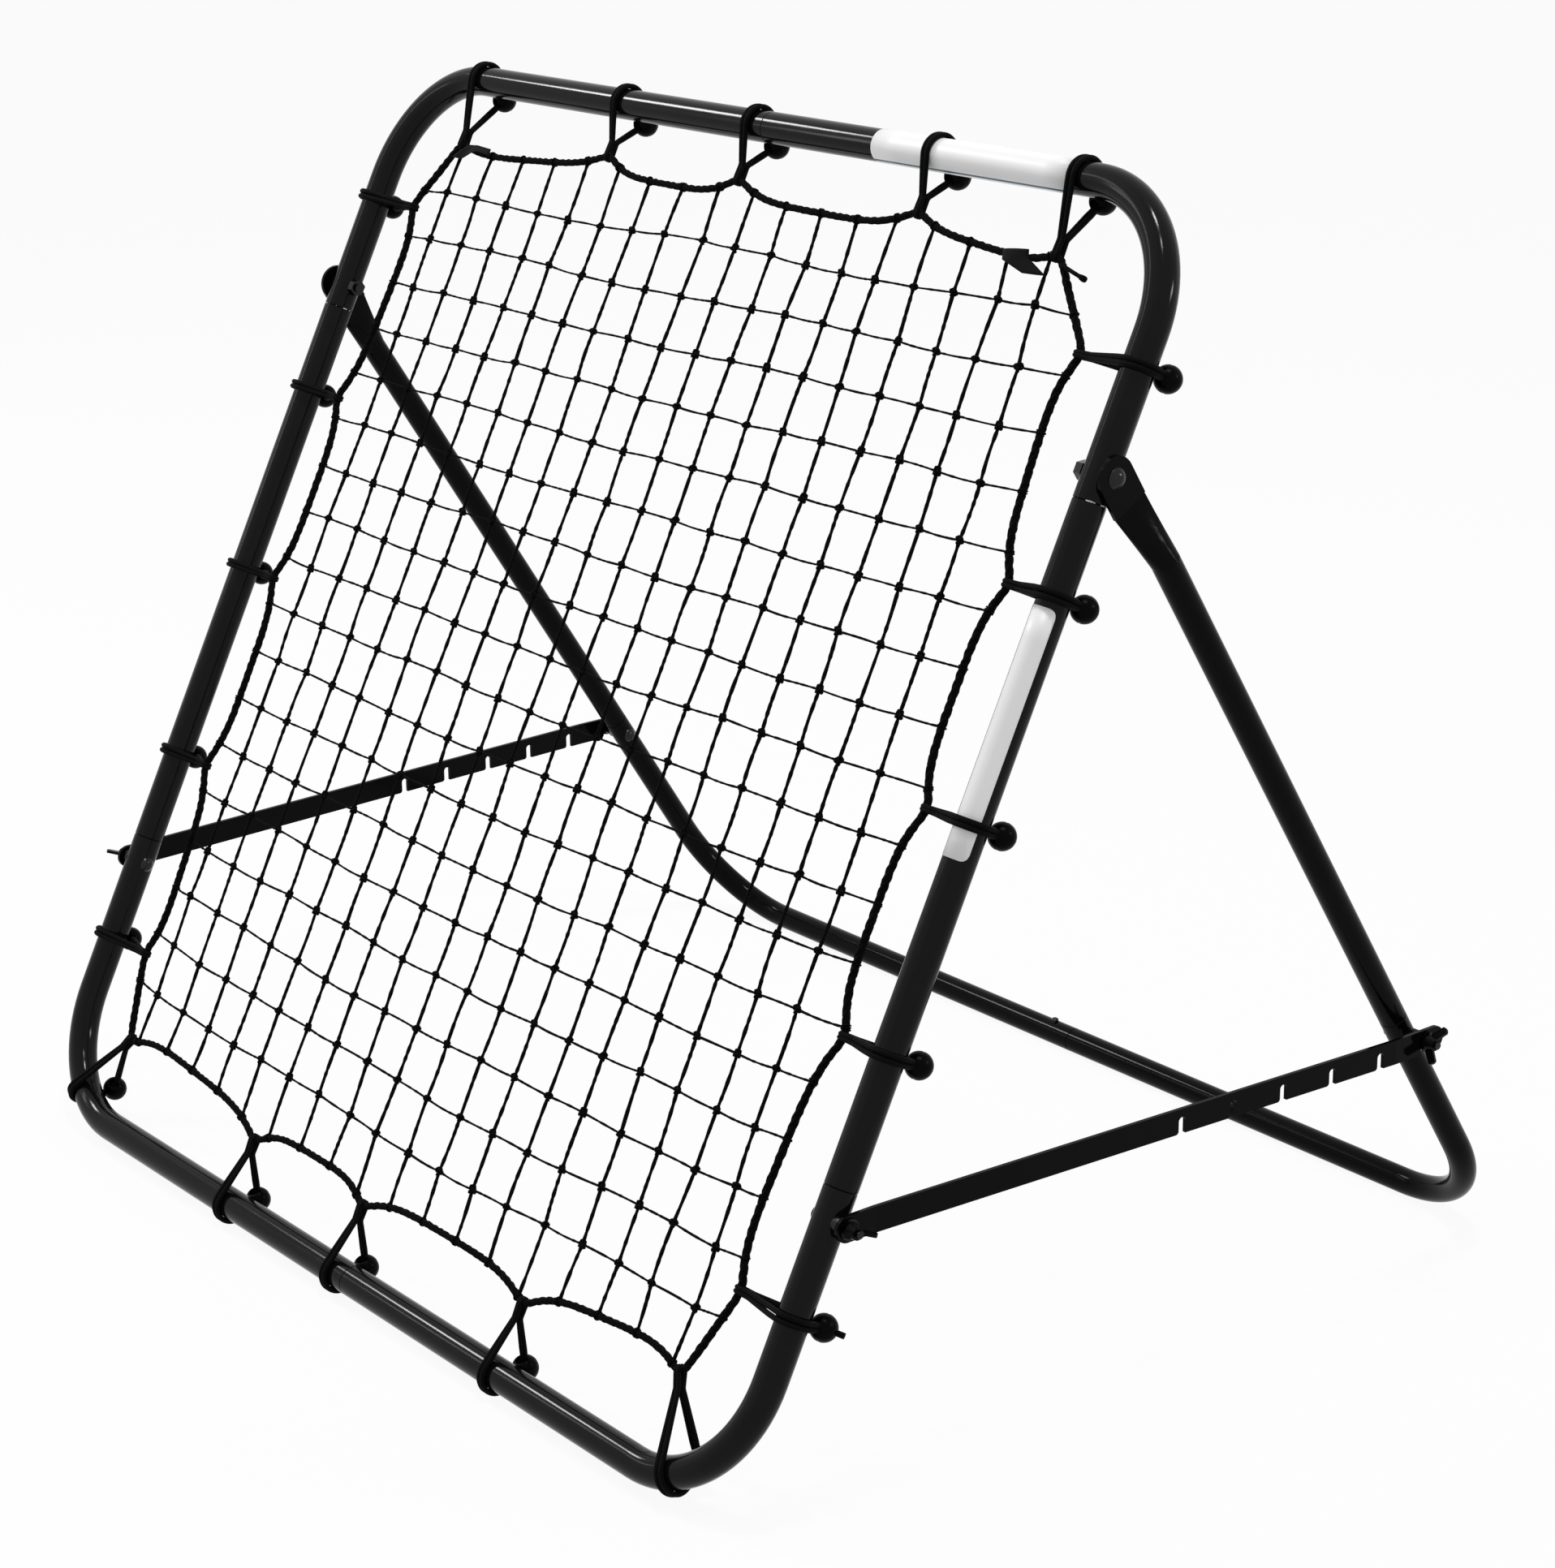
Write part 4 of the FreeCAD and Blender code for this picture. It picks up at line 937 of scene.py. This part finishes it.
class REBOUNDER_OT_bungees(bpy.types.Operator):
    """Makes the twenty elastic cords, each a loop round its tube and the border rope"""
    bl_idname = "rebounder.bungees"
    bl_label = "Elastic cords"

    def execute(self, context):
        settings = context.scene.rebounder_cords
        chance = random.Random(23)
        material = braid_finish(settings.cord_colour)
        for side in SIDES:
            for index in range(1, 6):
                shape = Shape()
                for way in (-1, 1):
                    self.strand(shape, station(side, index), way, settings.cord / 2, chance)
                if (side, index) == ("right", 1):
                    self.cut_end(shape, station(side, index), settings.cord / 2, settings.ball / 2)
                shape.build(f"{side}_elastic_{index}", material, "main_frame", "bungee_cord",
                            [f"{side}_bungee_{index}"])
        return {"FINISHED"}

    def strand(self, shape, place_of_bungee, way, radius, chance):
        """One of the loop's two strands, side by side on the tube and drawn together at the rope."""
        centre, outward, reach, ball = place_of_bungee
        tangent = Vector((-outward.y, outward.x, 0))
        loop = bungee_line(reach, ball, radius)
        last = len(loop) - 1
        drift = chance.uniform(-0.0008, 0.0008)
        side_by_side, drawn_together, drawn_thin = 1.03, 0.42, 0.16
        mouth_points = 6
        line = []
        sizes = []
        for i, point in enumerate(loop):
            near_rope = min(1.0, max(0.0, (-point.x - TUBE_RADIUS) / (reach - TUBE_RADIUS)))
            from_ball = min(1.0, i / mouth_points, (last - i) / mouth_points)
            apart = radius * (side_by_side - drawn_together * near_rope) * (0.5 + 0.5 * from_ball)
            shift = tangent * (way * apart + drift * math.sin(math.pi * i / last))
            line.append(place(centre + outward * point.x + shift - Vector((0, 0, point.y))))
            sizes.append(radius * (1.0 - drawn_thin * near_rope))
        shape.tube(line, sizes, sides=10)

    def cut_end(self, shape, place_of_bungee, radius, ball_radius):
        """The cord's end, cut short where it comes out behind the ball."""
        centre, outward, reach, ball = place_of_bungee
        middle = ball_centre(place_of_bungee)
        away = (middle - centre + outward * (reach / 2)).normalized()
        sunk = 0.002
        shown = 0.0055
        line = [place(middle + away * (ball_radius - sunk + (shown + sunk) * k / 4)) for k in range(5)]
        shape.tube(line, radius * 1.1, sides=10)


class REBOUNDER_OT_balls(bpy.types.Operator):
    """Makes the moulded balls, each with a mouth for its two cords and a parting line"""
    bl_idname = "rebounder.balls"
    bl_label = "Balls"

    def execute(self, context):
        settings = context.scene.rebounder_cords
        material = moulded_finish(settings.ball_colour)
        profile = self.profile(settings.ball / 2)
        for side in SIDES:
            shape = Shape()
            for index in range(1, 6):
                place_of_bungee = station(side, index)
                tube_centre, outward, reach, _ = place_of_bungee
                centre = ball_centre(place_of_bungee)
                towards = (tube_centre - outward * (reach / 2) - centre).normalized()
                middle = place(centre)
                axis = (place(centre + towards) - middle).normalized()
                shape.lathe(middle, axis, profile, sides=32)
            shape.build(f"{side}_balls", material, "main_frame", "ball_plastic", [f"{side}_bungee_balls"])
        return {"FINISHED"}

    def profile(self, radius):
        """From the far pole round to the mouth and into it."""
        mouth = math.radians(55)
        gate = 0.0006
        parting_line = 0.00025
        lip = [(-0.0006, 0.0003), (-0.0013, 0.0002), (-0.0017, -0.0006), (-0.0019, -0.004)]
        steps = 24
        points = []
        for i in range(steps + 1):
            turn = -math.pi / 2 + (math.pi / 2 + mouth) * i / steps
            size = radius
            if i == 0:
                size = radius - gate
            if abs(turn) < 0.02:
                size = radius - parting_line
            points.append((size * math.cos(turn), size * math.sin(turn)))
        rim = points[-1]
        return points + [(rim[0] + inward, rim[1] + along) for inward, along in lip]


class REBOUNDER_OT_labels(bpy.types.Operator):
    """Makes the two plain vinyl labels on the tubes"""
    bl_idname = "rebounder.labels"
    bl_label = "Labels"

    def execute(self, context):
        settings = context.scene.rebounder_labels
        material = vinyl_finish(settings.paper, settings.ink, LABEL_BAND)
        across, up = Vector((1, 0, 0)), Vector((0, 1, 0))
        start = Vector((TOP_LABEL_START, SLOPE_LENGTH, 0))
        top = self.label(settings, start, across, TOP_LABEL_LENGTH, up, TOP_LABEL_WRAP)
        top.build("top_label", material, "main_frame", "black_paint")
        start = Vector((half_width, SIDE_LABEL_START, 0))
        side = self.label(settings, start, up, SIDE_LABEL_LENGTH, across, SIDE_LABEL_WRAP)
        side.build("side_label", material, "main_frame", "black_paint")
        return {"FINISHED"}

    def label(self, settings, start, along, length, zero, wrap):
        """A skin round a tube between two angles, turned from zero towards the front, with round corners."""
        low, high = wrap
        shape = Shape()
        glue = 0.00005
        radius = TUBE_RADIUS + glue
        ahead = Vector((0, 0, 1))
        grid = []
        steps = 36
        spans = 8
        width = radius * (high - low)
        for i in range(steps + 1):
            share = i / steps
            edge = min(share, 1 - share) * width
            inset = 0.0
            if edge < settings.corner:
                inset = settings.corner - math.sqrt(settings.corner ** 2 - (settings.corner - edge) ** 2)
            turn = low + (high - low) * share
            spoke = zero * math.cos(turn) + ahead * math.sin(turn)
            normal = (place(spoke) - foot).normalized()
            row = []
            for j in range(spans + 1):
                run = inset + (length - 2 * inset) * j / spans
                row.append((place(start + along * run + spoke * radius), normal, (share, run / length)))
            grid.append(row)
        shape.skin(grid, settings.thickness)
        return shape


class REBOUNDER_OT_tags(bpy.types.Operator):
    """Makes the two woven tags that hang from the border rope, and the loose end of the rope"""
    bl_idname = "rebounder.tags"
    bl_label = "Tags and rope end"

    def execute(self, context):
        colour = context.scene.rebounder_cords.rope_colour
        material = tag_finish(colour)
        right = self.tag(RIGHT_TAG, 3).build("right_woven_tag", material, "main_frame", "border_cord")
        left = self.tag(LEFT_TAG, 5).build("left_woven_tag", material, "main_frame", "border_cord")
        self.rope_end().build("rope_end", twine_finish("black rope end", colour, 3, 2400.0), "main_frame",
                              "border_cord")
        return {"FINISHED"}

    def tag(self, edges, seed):
        """A ribbon that hangs from the rope through pairs of edge points, with a slight curl."""
        thickness = 0.0006 + random.Random(seed).uniform(0.0, 0.0001)
        off_rope = 0.0036
        curl = 0.0011
        shape = Shape()
        grid = []
        length = 0.0
        steps = 4
        spans = 6
        for k in range((len(edges) - 1) * steps + 1):
            at = min(k // steps, len(edges) - 2)
            share = k / steps - at
            one, two = (Vector(edges[at][i]).lerp(Vector(edges[at + 1][i]), share) for i in (0, 1))
            if grid:
                length += (one - before).length
            before = one
            row = []
            for j in range(spans + 1):
                flat = one.lerp(two, j / spans)
                ahead = off_rope + curl * math.sin(1.3 * k / steps + 0.5 * j)
                uv = (j / spans * (two - one).length, length)
                row.append((place(Vector((flat.x, flat.y, ahead))), front, uv))
            grid.append(row)
        shape.skin(grid, thickness)
        return shape

    def rope_end(self):
        """The rope's loose end, a short way out of its seam, with a whipped tip."""
        off_rope = 0.0035
        arch = 0.003
        whipping = 0.0009
        whipping_starts = 11
        steps = 14
        line = []
        sizes = []
        for i in range(steps + 1):
            share = i / steps
            x = ROPE_END_START[0] + ROPE_END_RUN[0] * share
            y = ROPE_END_START[1] - ROPE_END_RUN[1] * share
            line.append(place(Vector((x, y, off_rope + arch * math.sin(share * 2.6)))))
            swell = math.sin(math.pi * (i - whipping_starts) / 4) if i > whipping_starts else 0.0
            sizes.append(ROPE_END_RADIUS + whipping * swell)
        shape = Shape()
        shape.tube(line, sizes, sides=9)
        return shape


class REBOUNDER_OT_stage(bpy.types.Operator):
    """Makes the camera, the pale floor, the surrounding light and the lamps"""
    bl_idname = "rebounder.stage"
    bl_label = "Stage"

    def execute(self, context):
        settings = context.scene.rebounder_stage
        scene = context.scene
        self.camera(scene, settings)
        self.floor(scene, settings)
        self.world(scene, settings)
        second = settings.overhead * settings.second_overhead
        lamps = [
            ("key lamp", (-1.6, -3.6, 3.4), (6.0, 6.0), settings.key),
            ("fill lamp", (3.02, 2.03, 1.97), (0.7, 0.4), settings.fill),
            ("overhead lamp", (0.42, -0.05, 4.2), (0.40, 0.50), settings.overhead),
            ("second overhead lamp", (1.15, -0.45, 3.9), (0.30, 0.30), second),
            ("left lamp", (-2.9, -1.1, 2.8), (0.45, 0.7), settings.left),
            ("upright strip lamp", (-2.3, -1.9, 2.0), (0.12, 1.4), settings.strip),
        ]
        for name, position, size, power in lamps:
            self.lamp(scene, name, Vector(position), size, power)
        scene.view_settings.view_transform = "Standard"
        return {"FINISHED"}

    def camera(self, scene, settings):
        azimuth, elevation, roll = settings.azimuth, settings.elevation, settings.roll
        back = Vector((math.sin(azimuth) * math.cos(elevation), -math.cos(azimuth) * math.cos(elevation),
                       math.sin(elevation)))
        level = Vector((math.cos(azimuth), math.sin(azimuth), 0))
        steep = back.cross(level)
        right = level * math.cos(roll) + steep * math.sin(roll)
        up = steep * math.cos(roll) - level * math.sin(roll)
        data = bpy.data.cameras.new("camera")
        data.lens = settings.lens
        data.sensor_width = 36.0
        data.clip_end = 100.0
        camera = bpy.data.objects.new("camera", data)
        turn = Matrix((right, up, back)).transposed().to_4x4()
        camera.matrix_world = Matrix.Translation(foot + Vector(settings.position)) @ turn
        scene.collection.objects.link(camera)
        scene.camera = camera

    def floor(self, scene, settings):
        side = settings.floor / 2
        mesh = bpy.data.meshes.new("floor")
        mesh.from_pydata([(-side, -side, 0), (side, -side, 0), (side, side, 0), (-side, side, 0)], [],
                         [(0, 1, 2, 3)])
        finish = Finish("pale floor")
        grain = finish.noise(scale=3.0, detail=2.0)
        finish.set(Base_Color=finish.mix(grain * 0.1, (0.80, 0.80, 0.80, 1.0), (0.76, 0.76, 0.76, 1.0)),
                   Roughness=0.9, Specular_IOR_Level=0.0)
        lit = Wire(finish, finish.shader.outputs["BSDF"])
        glow = finish.node("ShaderNodeEmission", {}, {"Color": (1.0, 1.0, 1.0, 1.0), "Strength": 1.0})
        both = finish.node("ShaderNodeMixShader", {}, {0: finish.seen() * settings.glow, 1: lit, 2: glow})
        finish.feed(finish.tree.nodes["Material Output"].inputs["Surface"], both)
        mesh.materials.append(finish.material)
        piece = bpy.data.objects.new("floor", mesh)
        scene.collection.objects.link(piece)

    def world(self, scene, settings):
        world = bpy.data.worlds.new("even light")
        scene.world = world
        world.use_nodes = True
        nodes = Nodes(world.node_tree)
        background = nodes.tree.nodes["Background"]
        nodes.feed(background.inputs["Color"], (1.0, 1.0, 1.0, 1.0))
        nodes.feed(background.inputs["Strength"], settings.sky + nodes.seen() * (1.0 - settings.sky))

    def lamp(self, scene, name, position, size, power):
        """A rectangular lamp that points at the middle of the object."""
        aim = Vector((0, 0, 0.45))
        data = bpy.data.lights.new(name, "AREA")
        data.shape = "RECTANGLE"
        data.size, data.size_y = size
        data.energy = power
        lamp = bpy.data.objects.new(name, data)
        lamp.location = position
        lamp.rotation_euler = (aim - position).to_track_quat("-Z", "Y").to_euler()
        scene.collection.objects.link(lamp)


class REBOUNDER_PT_panel(bpy.types.Panel):
    """Lists the pieces that can be made"""
    bl_idname = "REBOUNDER_PT_panel"
    bl_label = "Rebounder"
    bl_space_type = "VIEW_3D"
    bl_region_type = "UI"
    bl_category = "Rebounder"

    def draw(self, context):
        for name, operators in sections.items():
            box = self.layout.box()
            settings = getattr(context.scene, name)
            for setting in settings.bl_rna.properties.keys():
                if setting not in ("name", "rna_type"):
                    box.prop(settings, setting)
            for operator in operators:
                box.operator(operator.bl_idname)


groups = {
    "rebounder_tubes": TubeSettings,
    "rebounder_net": NetSettings,
    "rebounder_cords": CordSettings,
    "rebounder_labels": LabelSettings,
    "rebounder_stage": StageSettings,
}
sections = {
    "rebounder_tubes": [REBOUNDER_OT_tubes],
    "rebounder_net": [REBOUNDER_OT_net],
    "rebounder_cords": [REBOUNDER_OT_rope, REBOUNDER_OT_bungees, REBOUNDER_OT_balls, REBOUNDER_OT_tags],
    "rebounder_labels": [REBOUNDER_OT_labels],
    "rebounder_stage": [REBOUNDER_OT_stage],
}
all_operators = [operator for operators in sections.values() for operator in operators]
all_classes = list(groups.values()) + all_operators + [REBOUNDER_PT_panel]


def register():
    for item in all_classes:
        bpy.utils.register_class(item)
    for name, group in groups.items():
        setattr(bpy.types.Scene, name, PointerProperty(type=group))


def unregister():
    for name in groups:
        delattr(bpy.types.Scene, name)
    for item in reversed(all_classes):
        bpy.utils.unregister_class(item)


def main():
    register()
    for operator in all_operators:
        area, name = operator.bl_idname.split(".")
        getattr(getattr(bpy.ops, area), name)()


if __name__ == "__main__":
    main()
